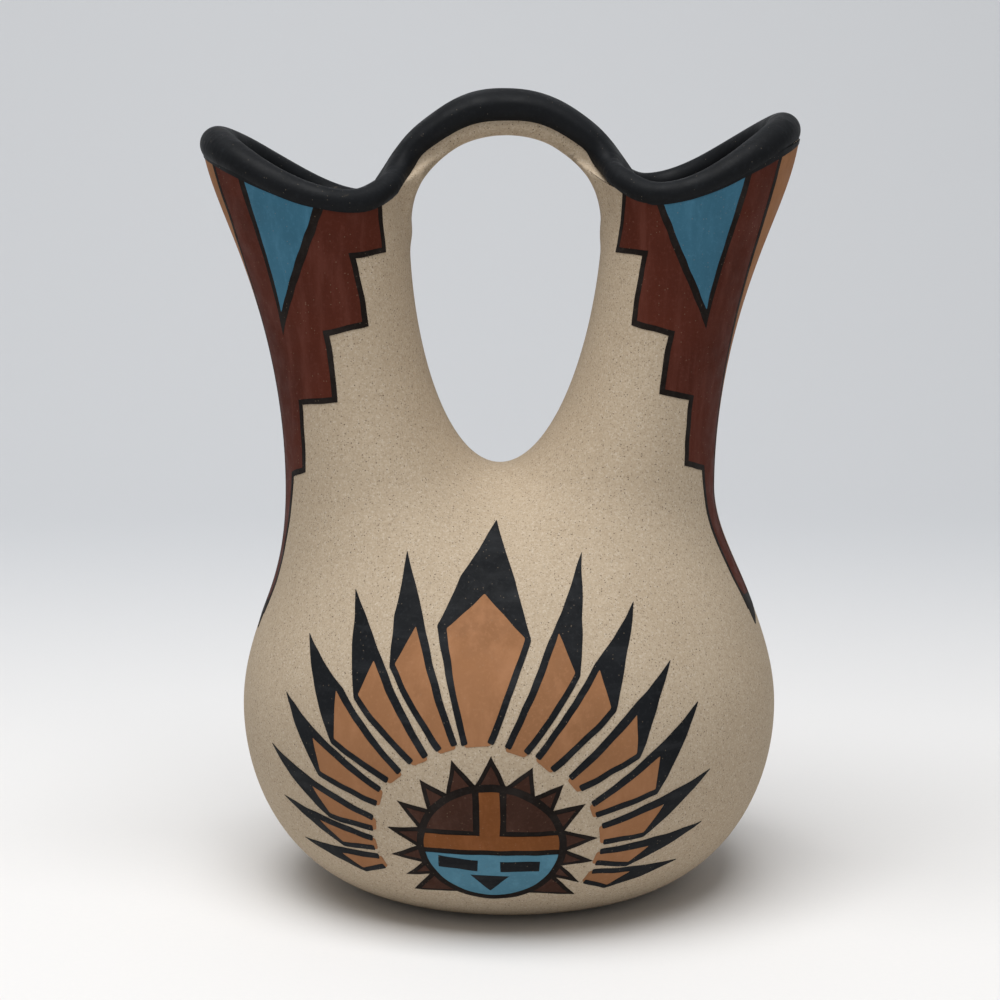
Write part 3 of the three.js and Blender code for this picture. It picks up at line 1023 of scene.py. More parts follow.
def length_property(name, description, default):
    return FloatProperty(name=name, description=description, unit="LENGTH", precision=5,
                         default=default)


class VaseForm(bpy.types.PropertyGroup):
    """Small sizes of the finished clay that the solids leave out."""

    root_fillet: length_property("Root fillet", "How far the strap runs into the spouts", 0.009)
    lip_fillet: length_property("Lip fillet", "How far the roll runs into the rims", 0.006)
    root_rounding: length_property("Root rounding", "Rounding of the clay's edge at the handle",
                                   0.007)
    root_shift: length_property("Root shift", "How far the rims draw back from the window", 0.0025)
    root_slimming: FloatProperty(name="Root slimming", description="How far the rims thin out "
                                 "where the handle stands on them", default=0.6, min=0, max=1)
    rim_lean: length_property("Rim lean", "How far the rims' tips sit to the left", 0.0004)
    window_trim: length_property("Window trim", "How far clay may stand into the window", 0.0005)
    roll_drop: FloatProperty(name="Roll drop", default=1.18, min=1, max=1.5,
                             description="How much thicker the roll is below its middle line")
    roll_fullness: FloatProperty(name="Roll fullness", default=2.6, min=2, max=4,
                                 description="How square the roll is below its middle line")
    strap_recess: length_property("Strap recess", "How far the strap stands back under the roll",
                                  0.0028)
    strap_rounding: length_property("Strap rounding", "Softness of the strap's lower edges", 0.005)
    strap_foot: length_property("Strap foot", "Height of the strap's ends over the widest window",
                                -0.003)
    strap_foot_reach: length_property("Strap foot reach", "Softness of the strap's ends", 0.012)
    wall_raise: length_property("Wall raise", "How far the walls reach up inside the lip", 0.0027)
    lip_wave_length: length_property("Lip wave length", "Length of the lip's hand-made waves",
                                     0.022)
    lip_wave_height: length_property("Lip wave height", "Height of the lip's hand-made waves",
                                     0.00035)


class VasePaint(bpy.types.PropertyGroup):
    """Sizes of the painted slip."""

    field_thickness: length_property("Field thickness", "Thickness of the coloured slips", 0.00010)
    line_thickness: length_property("Line thickness", "Thickness of the black slip", 0.00016)
    slip_bite: length_property("Slip bite", "How far a coat reaches into the clay", 0.00020)
    brush_step: length_property("Brush step", "Longest step of a painted outline", 0.0009)
    waver: length_property("Waver", "How far a painted edge strays", 0.00028)
    waver_length: length_property("Waver length", "Length of a painted edge's waves", 0.006)
    line_width: length_property("Line width", "Width of the black lines", 0.0018)
    triangle_line: length_property("Triangle line", "Width of the black beside each triangle",
                                   0.0024)
    side_line_width: length_property("Side line width", "Width of the lines beside the strips",
                                     0.0019)
    mouth_depth: length_property("Mouth depth", "How far the black slip goes down inside", 0.013)
    skirt_thickness: length_property("Skirt thickness", "Thickness of the slip under the rims",
                                     0.00030)
    skirt_height: length_property("Skirt height", "How far that slip reaches up behind the rims",
                                  0.003)
    skirt_tip_height: length_property("Skirt tip height", "The same at the spouts' tips", 0.0019)
    skirt_lift: length_property("Skirt lift", "How far above the clay's edge that slip starts",
                                0.0004)


class VaseFan(bpy.types.PropertyGroup):
    """The fan of feathers on the bowl."""

    centre_u: length_property("Centre across", "Middle of the fan across the bowl", -0.0087)
    centre_v: length_property("Centre height", "Middle of the fan above the belly", -0.0243)
    tilt: FloatProperty(name="Tilt", description="Lean of the fan to the right",
                        subtype="ANGLE", default=0)
    line_width: length_property("Line width", "Width of the feathers' black lines", 0.0021)


class VaseSun(bpy.types.PropertyGroup):
    """The sun below the fan."""

    centre_u: length_property("Centre across", "Middle of the sun across the bowl", -0.0061)
    centre_v: length_property("Centre height", "Middle of the sun above the belly", -0.0280)
    half_width: length_property("Half width", "Half the width of the sun's ring", 0.0247)
    half_height: length_property("Half height", "Half the height of the sun's ring", 0.0230)
    ring_width: length_property("Ring width", "Width of the sun's black ring", 0.0024)
    ray_line_width: length_property("Ray line width", "Width of the rays' black lines", 0.0014)


class VaseColours(bpy.types.PropertyGroup):
    """Colours of the clay and slips."""

    clay: colour_property("Clay", "Bare fired clay", 187, 171, 149)
    clay_dark: colour_property("Dark clay", "Darker patches of the clay", 160, 142, 119)
    speck: colour_property("Speck", "Dark specks in the clay", 74, 61, 49)
    fleck: colour_property("Fleck", "Pale flecks in the clay", 214, 204, 188)
    black: colour_property("Black slip", "Large black fields and the lip", 25, 27, 30)
    line: colour_property("Line slip", "Thin black lines", 27, 21, 18)
    red_brown: colour_property("Red-brown slip", "Stepped panels", 80, 37, 26)
    orange: colour_property("Orange slip", "Feathers and side strips", 150, 106, 73)
    deep_orange: colour_property("Deep orange slip", "Bar and band of the sun", 124, 75, 40)
    dark_brown: colour_property("Dark brown slip", "Brow and rays of the sun", 66, 42, 33)
    turquoise: colour_property("Turquoise slip", "Triangles of the panels", 60, 107, 130)
    sun_blue: colour_property("Sun turquoise slip", "Lower face of the sun", 80, 126, 146)


class VaseStage(bpy.types.PropertyGroup):
    """Floor, backdrop, lights and camera."""

    floor: colour_property("Floor", "Colour of the floor", 231, 230, 229)
    # The backdrop colour is the floor's paper painted darker, as painted shade on the upright sweep
    backdrop: colour_property("Backdrop", "Colour of the backdrop", 212, 214, 217)
    sky_strength: FloatProperty(name="Sky strength", description="Level of the even light",
                                default=0.27, min=0)
    lamp_power: FloatProperty(name="Lamp power", description="Power of the soft lamp",
                              unit="POWER", default=35.5, min=0)
    camera_x: length_property("Camera across", "Place of the camera across the vase", -0.003)
    camera_distance: length_property("Camera distance", "Distance in front of the vase", 0.870)
    camera_height: length_property("Camera height", "Height above the floor", 0.275)
    camera_pitch: FloatProperty(name="Camera pitch", description="Angle down", subtype="ANGLE",
                                default=math.radians(9.6))
    camera_lens: FloatProperty(name="Camera lens", description="Focal length in millimetres",
                               unit="CAMERA", default=95.4)


class Shader:
    """Short ways to add and join the nodes of one material."""

    def __init__(self, name):
        self.material = bpy.data.materials.new(name)
        self.material.use_nodes = True
        self.tree = self.material.node_tree
        self.surface = self.tree.nodes["Principled BSDF"]
        self.place = self.node("ShaderNodeTexCoord").outputs["Object"]

    def node(self, kind, **values):
        made = self.tree.nodes.new(kind)
        for key, value in values.items():
            setattr(made, key, value)
        return made

    def join(self, source, target):
        self.tree.links.new(source, target)

    def noise(self, scale, detail=2.0, roughness=0.5, stretch=None):
        made = self.node("ShaderNodeTexNoise")
        made.inputs["Scale"].default_value = scale
        made.inputs["Detail"].default_value = detail
        made.inputs["Roughness"].default_value = roughness
        self.join(self.stretched(stretch), made.inputs["Vector"])
        return made.outputs["Fac"]

    def stretched(self, stretch):
        if stretch is None:
            return self.place
        mapping = self.node("ShaderNodeMapping")
        mapping.inputs["Scale"].default_value = stretch
        self.join(self.place, mapping.inputs["Vector"])
        return mapping.outputs["Vector"]

    def band(self, value, low, high, start=0.0, end=1.0):
        """Turns a range of a value into another range, with soft ends."""
        made = self.node("ShaderNodeMapRange", interpolation_type="SMOOTHSTEP")
        self.join(value, made.inputs["Value"])
        ranges = {"From Min": low, "From Max": high, "To Min": start, "To Max": end}
        for key, number in ranges.items():
            made.inputs[key].default_value = number
        return made.outputs["Result"]

    def times(self, first, second):
        made = self.node("ShaderNodeMath", operation="MULTIPLY")
        for socket, value in zip(made.inputs, (first, second)):
            if isinstance(value, (int, float)):
                socket.default_value = value
            else:
                self.join(value, socket)
        return made.outputs["Value"]

    def blend(self, share, first, second):
        """Mixes two colours, each a plain colour or another node's output."""
        made = self.node("ShaderNodeMix", data_type="RGBA")
        if isinstance(share, (int, float)):
            made.inputs[0].default_value = share
        else:
            self.join(share, made.inputs[0])
        for socket, value in ((made.inputs[6], first), (made.inputs[7], second)):
            if isinstance(value, bpy.types.NodeSocket):
                self.join(value, socket)
            else:
                socket.default_value = (*value, 1)
        return made.outputs[2]

    def specks(self, scale, size, share):
        """Round specks in some cells of a cell pattern: 1 in a speck and 0 between them."""
        cells = self.node("ShaderNodeTexVoronoi")
        cells.inputs["Scale"].default_value = scale
        self.join(self.place, cells.inputs["Vector"])
        split = self.node("ShaderNodeSeparateColor")
        self.join(cells.outputs["Color"], split.inputs["Color"])
        near = self.band(cells.outputs["Distance"], size, size * 0.6)
        chosen = self.band(split.outputs["Red"], 1 - share, 1 - share + 0.02)
        return self.times(near, chosen)

    def bump(self, height, distance, strength=1.0, before=None):
        made = self.node("ShaderNodeBump")
        made.inputs["Strength"].default_value = strength
        made.inputs["Distance"].default_value = distance
        self.join(height, made.inputs["Height"])
        if before is not None:
            self.join(before, made.inputs["Normal"])
        return made.outputs["Normal"]

    def finish(self, colour, roughness, normal, sheen_level=0.08):
        self.join(colour, self.surface.inputs["Base Color"])
        self.join(roughness, self.surface.inputs["Roughness"])
        self.join(normal, self.surface.inputs["Normal"])
        self.surface.inputs["Specular IOR Level"].default_value = sheen_level
        return self.material


def clay_material(title):
    """Fired clay: warm tan with soft patches, dark and pale specks and a dry grain."""
    colours = bpy.context.scene.vase_colours
    shader = Shader(title)
    patches = shader.band(shader.noise(22, 3), 0.38, 0.66)
    colour = shader.blend(shader.times(patches, 0.22), colours.clay, colours.clay_dark)
    mottle = shader.band(shader.noise(480, 4, 0.7), 0.35, 0.7, 0, 0.3)
    colour = shader.blend(mottle, colour, colours.clay_dark)
    sand = shader.band(shader.noise(1500, 2, 0.8), 0.38, 0.66, 0, 0.55)
    colour = shader.blend(sand, colour, colours.clay_dark)
    pale = shader.band(shader.noise(1300, 2, 0.7), 0.5, 0.74, 0, 0.4)
    colour = shader.blend(pale, colour, colours.fleck)
    pits = shader.specks(900, 0.24, 0.3)
    colour = shader.blend(shader.times(pits, 0.75), colour, colours.speck)
    grit = shader.specks(1700, 0.36, 0.3)
    colour = shader.blend(shader.times(grit, 0.5), colour, colours.speck)
    mica = shader.specks(1500, 0.22, 0.12)
    colour = shader.blend(shader.times(mica, 0.85), colour, colours.fleck)
    roughness = shader.band(shader.noise(420, 2), 0.3, 0.7, 0.72, 0.92)
    soft = shader.bump(shader.noise(75, 3), 0.0006, 0.35)
    grain = shader.bump(shader.noise(950, 4, 0.7), 0.00022, 0.55, soft)
    pitted = shader.bump(pits, 0.0001, 0.4, grain)
    return shader.finish(colour, roughness, pitted)


def slip_material(name, colour, change, dark, streak, roughness, wear):
    """Matte slip: brush streaks, soft changes of tone, a few worn spots that show pale."""
    shader = Shader(name)
    deeper = tuple(value * dark for value in colour)
    paler = tuple(min(1, value * change + 0.012) for value in colour)
    cloud = shader.band(shader.noise(38, 3), 0.35, 0.68)
    base = shader.blend(cloud, colour, deeper)
    strokes = shader.band(shader.noise(60, 4, 0.65, streak), 0.46, 0.72, 0, 0.55)
    base = shader.blend(strokes, base, paler)
    fine = shader.band(shader.noise(900, 2, 0.6), 0.5, 0.75, 0, 0.35)
    base = shader.blend(fine, base, paler)
    dust = shader.specks(1100, 0.26, 0.12)
    base = shader.blend(shader.times(dust, wear), base, bpy.context.scene.vase_colours.clay_dark)
    gloss = shader.band(shader.noise(180, 3), 0.3, 0.7, roughness - 0.08, roughness + 0.1)
    brushed = shader.bump(shader.noise(60, 4, 0.6, streak), 0.00015, 0.3)
    grain = shader.bump(shader.noise(1000, 3, 0.6), 0.00012, 0.4, brushed)
    return shader.finish(base, gloss, grain)


def lip_material(title):
    """Black slip on the rims and the roll: charcoal with scuffs, rubbed paler along the lip."""
    colours = bpy.context.scene.vase_colours
    shader = Shader(title)
    cloud = shader.band(shader.noise(45, 3), 0.35, 0.65)
    black = tuple(value * 0.8 for value in colours.black)
    base = shader.blend(cloud, black, tuple(value * 0.75 for value in black))
    fine = shader.band(shader.noise(700, 3, 0.65), 0.5, 0.78, 0, 0.35)
    base = shader.blend(fine, base, tuple(value * 2 for value in colours.black))
    scuffed = shader.band(shader.noise(30, 2), 0.5, 0.72)
    scratches = shader.band(shader.noise(90, 5, 0.75, (1.0, 0.35, 2.4)), 0.6, 0.74)
    rubbed = shader.times(shader.times(scuffed, scratches), 0.45)
    base = shader.blend(rubbed, base, colours.clay_dark)
    dust = shader.specks(1300, 0.2, 0.07)
    base = shader.blend(shader.times(dust, 0.3), base, colours.clay)
    gloss = shader.band(shader.noise(150, 3), 0.3, 0.7, 0.48, 0.64)
    soft = shader.bump(shader.noise(110, 3), 0.0006, 0.3)
    grain = shader.bump(shader.noise(1100, 3, 0.65), 0.00016, 0.45, soft)
    return shader.finish(base, gloss, grain, 0.11)


SLIPS = {
    # name: colour property, paler, darker, streak directions, roughness, wear
    "black_slip": ("black", 1.5, 0.75, (0.5, 0.5, 3.0), 0.62, 0.25),
    "line_slip": ("line", 1.6, 0.8, (1.0, 1.0, 1.0), 0.64, 0.2),
    "red_brown_slip": ("red_brown", 1.35, 0.82, (3.0, 3.0, 0.35), 0.66, 0.22),
    "orange_slip": ("orange", 1.22, 0.86, (1.6, 1.6, 0.6), 0.72, 0.2),
    "deep_orange_slip": ("deep_orange", 1.3, 0.85, (2.5, 2.5, 0.5), 0.7, 0.2),
    "dark_brown_slip": ("dark_brown", 1.4, 0.8, (2.0, 2.0, 0.6), 0.68, 0.2),
    "turquoise_slip": ("turquoise", 1.25, 0.84, (2.6, 2.6, 0.4), 0.66, 0.22),
    "sun_blue_slip": ("sun_blue", 1.2, 0.88, (2.6, 0.5, 2.6), 0.66, 0.2),
}


def material_for(name):
    """The named finish, made when it is first asked for."""
    title = name + "_finish"
    if title in bpy.data.materials:
        return bpy.data.materials[title]
    if name == "bare_clay":
        return clay_material(title)
    if name == "lip":
        return lip_material(title)
    key, change, dark, streak, roughness, wear = SLIPS[name]
    colour = tuple(getattr(bpy.context.scene.vase_colours, key))
    return slip_material(title, colour, change, dark, streak, roughness, wear)


class VaseLowerClay(bpy.types.Operator):
    """Make the floor, the bowl, the shoulder and the forked neck"""

    bl_idname = "vase.lower_clay"
    bl_label = "Bowl and Neck"

    def execute(self, context):
        clay = material_for("bare_clay")
        new_piece("foot_disc_clay", foot_mesh("foot_disc_clay"), clay, "bare_clay", ["foot_disc"])
        levels = (FLOOR_JOINT, BELLY_JOINT, YOKE_JOINT, SPOUT_JOINT)
        for node, low, high in zip(("lower_bowl", "shoulder", "yoke"), levels, levels[1:]):
            name = node + "_clay"
            new_piece(name, wall_band(name, low, high), clay, "bare_clay", [node])
        return {"FINISHED"}


def root_planes():
    """The two planes across the arch that part the strap and the roll from the spouts."""
    planes = []
    for side in (-1, 1):
        share = side * PARTING_SHARE
        run = arch_point(share + 0.01) - arch_point(share - 0.01)
        planes.append((arch_point(share), side * run / np.linalg.norm(run)))
    return planes


def parted(points, faces):
    """Cuts a form at both roots of the arch, and sorts its faces: left, middle and right."""
    planes = root_planes()
    for side, (origin, normal) in zip((-1, 1), planes):
        points, faces = cut_faces(points, faces, origin, normal,
                                  lambda c, s=side: c[2] > PARTING_HEIGHT and c[0] * s > 0)
    parts = {"left": [], "middle": [], "right": []}
    for face in faces:
        centre = np.mean([points[corner] for corner in face], 0)
        inside = all((centre - origin) @ normal < 0 for origin, normal in planes)
        spout = "left" if centre[0] < 0 else "right"
        key = "middle" if inside and centre[2] > PARTING_HEIGHT else spout
        parts[key].append(face)
    return points, parts


def add_parts(points, parts, field, nodes, ending, finish):
    """Adds each part of a form as a capped piece that takes the place of its own node."""
    normals = settled(points, field, 0)[1]
    material, slot = finish
    for key, node in nodes.items():
        mesh = capped_part(node + ending, points, parts[key], normals)
        new_piece(node + ending, mesh, material_for(material), slot, [node])


def spout_shell(edge, low, top_raise):
    """A closed thick wall for one spout, before it is run together with the strap."""
    angles = np.linspace(0, 2 * np.pi, SHELL_STEPS, endpoint=False)
    share = np.linspace(0, 1, SHELL_ROWS)[:, None]
    z = mix(low, edge.height(angles)[None, :] + top_raise, share)
    turn = np.broadcast_to(angles[None, :], z.shape)
    layers = [wall_point(edge.side, turn, z, inner) for inner in (False, True)]
    rows, steps = z.shape
    ring = np.vstack([layers[0].reshape(-1, 3), layers[1][::-1].reshape(-1, 3)])
    faces = []
    for row in range(2 * rows):
        for step in range(steps):
            a, b = row * steps, (row + 1) % (2 * rows) * steps
            face = (a + step, a + (step + 1) % steps, b + (step + 1) % steps, b + step)
            faces.append(face if edge.side > 0 else face[::-1])
    return ring, faces


def strap_bar(settings):
    """A closed bar along the arch, before it is run together with the spouts."""
    shares = np.linspace(-1, 1, STRAP_STEPS)
    top = arch_point(shares)
    deep = arch_size(shares)[1] - settings.strap_recess
    turn = shares * np.pi / 2
    middle = [NECK_OFFSET + WINDOW_OFFSET, 0, WINDOW_WIDEST_HEIGHT]
    bottom = middle + np.stack([WINDOW_HALF_WIDTH * np.sin(turn), turn * 0,
                                WINDOW_ARCH_RISE * np.cos(turn)], -1)
    front = np.stack([deep * 0, deep, deep * 0], -1)
    sections = np.stack([top - front, bottom - front, bottom + front, top + front], 1)
    return tube_mesh(sections, False)


class VaseUpperClay(bpy.types.Operator):
    """Make the two spouts and the clay strap of the handle"""

    bl_idname = "vase.upper_clay"
    bl_label = "Spouts and Strap"

    def execute(self, context):
        settings = context.scene.vase_form

        def field(points):
            return clay_top_field(points, settings)

        low = SPOUT_JOINT - SHELL_OVERLAP
        shapes = [spout_shell(edge, low, settings.wall_raise) for edge in EDGES]
        shapes.append(strap_bar(settings))
        even = remeshed("clay_top", shapes, CLAY_VOXEL)
        points, _ = settled(vertex_array(even), field)
        points, faces = cut_faces(points, face_list(even), np.array([0, 0, SPOUT_JOINT]),
                                  [0, 0, 1], lambda centre: True)
        bpy.data.meshes.remove(even)
        faces = [face for face in faces if np.mean([points[c][2] for c in face]) > SPOUT_JOINT]
        points, parts = parted(points, faces)
        nodes = {"left": "left_spout", "middle": "handle_strap", "right": "right_spout"}
        add_parts(points, parts, field, nodes, "_clay", ("bare_clay", "bare_clay"))
        return {"FINISHED"}


class VaseLip(bpy.types.Operator):
    """Make the black rims and the roll on the handle"""

    bl_idname = "vase.lip"
    bl_label = "Black Lip"

    def execute(self, context):
        settings = context.scene.vase_form

        def field(points):
            return lip_field(points, settings)

        shapes = []
        for edge in EDGES:
            path, radius = rim_path(edge, settings)
            path = np.vstack([path[-2:], path, path[:2]])
            radius = np.concatenate([radius[-2:], radius, radius[:2]])
            ups = np.broadcast_to([0.0, 0.0, 1.0], path.shape)
            grid = tube_grid(path, ups, radius, radius)[2:-2]
            shapes.append(tube_mesh(grid, True))
        shares = np.linspace(-HANDLE_REACH, HANDLE_REACH, ROLL_STEPS)
        thick, deep = arch_size(shares)
        ups = np.broadcast_to([0.0, 1.0, 0.0], (len(shares), 3))
        shapes.append(tube_mesh(tube_grid(arch_point(shares), ups, deep, thick), False))
        even = remeshed("lip", shapes, LIP_VOXEL)
        points, _ = settled(vertex_array(even), field)
        points, parts = parted(points, face_list(even))
        bpy.data.meshes.remove(even)
        nodes = {"left": "left_rim_coil", "middle": "handle_coil", "right": "right_rim_coil"}
        add_parts(points, parts, field, nodes, "_slip", ("lip", "black_slip"))
        return {"FINISHED"}


def ring_faces(rows, steps, closed):
    """Triangles of a band of points, which may close on itself."""
    faces = []
    for row in range(rows - 1):
        for step in range(steps if closed else steps - 1):
            a, b = row * steps, (row + 1) * steps
            after = (step + 1) % steps
            faces.append((a + step, a + after, b + after))
            faces.append((a + step, b + after, b + step))
    return faces


class VaseMouths(bpy.types.Operator):
    """Lay the black slip inside both mouths and under their rims"""

    bl_idname = "vase.mouths"
    bl_label = "Mouths"
    steps = 260
    rows = 10
    drift_size = 3
    # Angles where the skirt starts, has its full height, and begins to narrow towards the tip
    skirt_start = 0.75
    skirt_full = 1.1
    skirt_narrows = 2
    skirt_least = 0.0002
    depth_change = 0.22
    overlap = 0.001

    def execute(self, context):
        paint = context.scene.vase_paint
        inside = Coat(paint, paint.field_thickness)
        skirt = Coat(paint, paint.skirt_thickness)
        round_it = np.linspace(0, 2 * np.pi, self.steps, endpoint=False)
        outside = np.linspace(self.skirt_start, 2 * np.pi - self.skirt_start, self.steps)
        for edge in EDGES:
            depth = paint.mouth_depth * (1 + self.depth_change * self.drift(round_it, edge))
            top = edge.height(round_it) + self.overlap
            self.lay_ring(inside, edge, round_it, top - depth, top, True)
            turn = turn_from_window(outside)
            top = edge.height(outside)
            high = top + mix(paint.skirt_height, paint.skirt_tip_height,
                             ease(share_of(turn, self.skirt_narrows, np.pi)))
            low = top + self.drift(outside, edge) * paint.waver + paint.skirt_lift
            risen = 1 - ease(share_of(turn, self.skirt_start, self.skirt_full))
            low = mix(low, high - self.skirt_least, risen)
            self.lay_ring(skirt, edge, outside, low, high, False)
        inside.finish("mouth_black_slip", material_for("black_slip"), "black_slip")
        skirt.finish("rim_skirt_slip", material_for("lip"), "black_slip")
        return {"FINISHED"}

    def drift(self, angles, edge):
        """A slow waver of the slip's edge round the mouth."""
        round_it = [(math.cos(a) * self.drift_size, math.sin(a) * self.drift_size) for a in angles]
        return np.array([noise.noise(Vector((*place, edge.side))) for place in round_it])

    def lay_ring(self, coat, edge, angles, low, high, inner):
        """Lays a band between two heights: closed on the hollow, open on the outer skin."""
        z = mix(low[None, :], high[None, :], np.linspace(0, 1, self.rows)[:, None])
        turn = np.broadcast_to(angles[None, :], z.shape)
        surface = wall_point(edge.side, turn, z, inner).reshape(-1, 3)
        coat.lay(surface, skin_normal(surface, inner), ring_faces(self.rows, len(angles), inner))


def millimetres(*pairs):
    return np.array(pairs, float) / 1000


# Corners of the stepped lines: distance from the spout's outer side and height, in millimetres
STEPS = {
    -1: ((70.2, 212.9), (57.8, 211.6), (55.2, 189.9), (42.2, 187.1), (41.6, 165.8), (27.4, 164.0),
         (27.0, 142.0), (18.4, 139.4), (16.6, 130.5), (14.0, 116.5), (13.4, 103.1), (11.5, 92.0)),
    1: ((75.2, 212.7), (61.8, 212.4), (57.3, 190.1), (44.0, 187.1), (43.6, 168.4), (32.2, 165.8),
        (32.4, 144.7), (22.2, 142.0), (20.0, 131.1), (19.6, 118.1), (20.0, 105.4), (18.6, 95.0)),
}
STEP_TOPS = {-1: 0.0745, 1: 0.0787}
SIDE_LINES = {
    -1: ((16.6, 236.0), (15.4, 223.3), (10.8, 206.7), (8.0, 190.0), (6.5, 165.0), (5.5, 140.0),
         (4.5, 115.0), (3.0, 92.0)),
    1: ((23.2, 238.0), (21.4, 225.2), (15.8, 200.3), (12.5, 185.0), (9.5, 165.0), (8.0, 140.0),
        (7.0, 115.0), (5.0, 95.0)),
}
# Corners of the turquoise triangles, and the lower point of the black one round each
TRIANGLES = {
    -1: ((32.1, 235.6), (53.1, 227.9), (27.2, 193.0), (24.8, 185.4)),
    1: ((62.9, 227.9), (38.4, 236.4), (34.2, 194.2), (31.8, 188.0)),
}


def stepped_line(chart):
    """The stepped black line: from the rim down four steps to the tail, outwards as it goes."""
    side = chart.edge.side
    return np.vstack([chart.rim_points([STEP_TOPS[side]]), millimetres(*STEPS[side])])


def side_line(chart):
    """The thin line between the panel and the strip on the outer side, from the rim down."""
    points = millimetres(*SIDE_LINES[chart.edge.side])
    return np.vstack([chart.rim_points([points[0][0] + 0.0002]), points])


class VasePanels(bpy.types.Operator):
    """Paint the stepped panels, triangles and strips on the spouts"""

    bl_idname = "vase.panels"
    bl_label = "Stepped Panels"

    def execute(self, context):
        paint = context.scene.vase_paint
        for edge, label in zip(EDGES, ("left", "right")):
            fill = Coat(paint, paint.field_thickness)
            strip = Coat(paint, paint.field_thickness)
            lines = Coat(paint, paint.line_thickness)
            blue = Coat(paint, paint.line_thickness + TRIANGLE_LIFT)
            for facing in (1, -1):
                chart = SpoutChart(edge, facing)
                self.paint_panel(chart, paint, fill, lines, blue)
                self.paint_strip(chart, strip)
            fill.finish(f"{label}_panel_red_brown", material_for("red_brown_slip"),
                        "red_brown_slip")
            strip.finish(f"{label}_strip_orange", material_for("orange_slip"), "orange_slip")
            lines.finish(f"{label}_panel_lines", material_for("line_slip"), "black_slip")
            blue.finish(f"{label}_triangle_turquoise", material_for("turquoise_slip"),
                        "turquoise_slip")
        return {"FINISHED"}

    def paint_panel(self, chart, paint, fill, lines, blue):
        steps = stepped_line(chart)
        side = side_line(chart)
        across = np.linspace(side[0][0], steps[0][0], 30)[1:-1]
        fill.draw(chart, np.vstack([steps, side[::-1], chart.rim_points(across)]))
        lines.draw(chart, stroke(steps, paint.line_width))
        lines.draw(chart, stroke(side, paint.side_line_width))
        last, foot = steps[-1], side[-1]
        # The black tip in which the panel ends, low on the spout's side
        end = np.array([last + [0.0010, 0.008], last - [0.0015, 0.006], foot - [0.001, 0.001],
                        foot + [0, 0.003], last + [-0.002, 0.004]])
        lines.draw(chart, rounded(end, TAIL_CORNER))
        first, second, low, point = millimetres(*TRIANGLES[chart.edge.side])
        broad = paint.triangle_line if second[0] > first[0] else -paint.triangle_line
        top = chart.rim_points([first[0] - broad, second[0] + broad])
        lines.draw(chart, np.vstack([top, point]))
        inside = chart.rim_points([first[0], second[0]])
        blue.draw(chart, rounded(np.vstack([inside, low]), SHARP_CORNER))

    def paint_strip(self, chart, strip):
        side = side_line(chart)
        across = np.linspace(0, side[0][0], 10)[:-1]
        foot = np.array([[0, side[-1][1]]])
        strip.draw(chart, np.vstack([side[::-1], chart.rim_points(across)[::-1], foot]))


def polar(centre, degrees, reach):
    """A point from its angle off straight up, to the right, and its distance from the centre."""
    turn = math.radians(degrees)
    return centre + reach * np.array([math.sin(turn), math.cos(turn)])


# The side feathers of the fan, from the top down: the angle from straight up and the reach in
# millimetres of each one's inner foot, inner side, tip, outer side, shoulder, outer foot and the
# apex of its field
FEATHERS = (
    (-1, (
        ((13.2, 32.2), (17.9, 66.0), (18.6, 92.0), (26.2, 76.0),
         (31.5, 62.0), (26.0, 31.9), (20.6, 70.0)),
        ((31.0, 31.9), (32.9, 66.0), (34.6, 91.0), (39.9, 76.0),
         (46.3, 61.0), (43.4, 33.0), (35.5, 66.5)),
        ((49.0, 33.4), (47.7, 66.0), (50.3, 92.2), (54.5, 76.0),
         (62.2, 58.0), (60.6, 35.2), (49.8, 67.5)),
        ((64.3, 36.2), (62.7, 64.0), (62.4, 85.0), (67.1, 72.0),
         (74.8, 59.2), (75.8, 36.2), (65.0, 65.5)),
        ((81.4, 36.9), (76.9, 64.0), (75.5, 85.2), (80.3, 72.0),
         (88.8, 55.4), (90.4, 37.7), (79.3, 62.5)),
        ((93.2, 38.6), (88.2, 62.0), (87.0, 79.6), (91.0, 68.0),
         (99.7, 53.6), (101.7, 39.6), (90.5, 61.5)),
        ((103.6, 39.5), (99.9, 60.0), (98.3, 77.0), (103.7, 64.0),
         (112.2, 51.4), (112.7, 40.1), (102.8, 57.5)),
    )),
    (1, (
        ((12.6, 31.8), (19.7, 66.0), (24.6, 95.4), (27.3, 76.0),
         (32.0, 60.5), (27.2, 31.8), (22.0, 69.0)),
        ((30.2, 32.5), (34.3, 66.0), (38.2, 91.6), (40.8, 76.0),
         (46.9, 58.5), (44.4, 31.8), (36.2, 65.5)),
        ((51.0, 34.0), (49.8, 62.0), (51.2, 85.2), (54.5, 72.0),
         (63.5, 56.0), (62.4, 34.8), (52.3, 63.0)),
        ((70.0, 36.4), (63.8, 64.0), (62.1, 84.4), (67.8, 72.0),
         (77.7, 58.6), (79.4, 37.1), (66.7, 62.8)),
        ((83.0, 38.8), (79.2, 62.0), (77.8, 81.2), (83.2, 68.0),
         (92.5, 54.6), (94.8, 40.0), (81.8, 61.3)),
        ((97.3, 39.5), (93.2, 60.0), (91.0, 80.4), (96.0, 68.0),
         (105.2, 53.2), (106.8, 40.0), (96.3, 58.6)),
        ((109.2, 40.6), (104.4, 60.0), (102.0, 77.0), (108.5, 64.0),
         (117.7, 51.6), (118.8, 41.0), (107.4, 56.6)),
    )),
)
# The same for the middle feather, left and right. The corners and the apex bound its field
MIDDLE_FEATHER = {
    "foot": ((-11.1, 31.6), (6.6, 31.6)),
    "side": ((-12.8, 46.0), (11.1, 46.0)),
    "shoulder": ((-14.4, 68.0), (14.5, 63.8)),
    "upper_side": ((-5.9, 80.0), (8.6, 80.0)),
    "corner": ((-11.7, 66.6), (12.6, 64.0)),
    "tip": (4.4, 94.7),
    "apex": (0.5, 75.0),
}


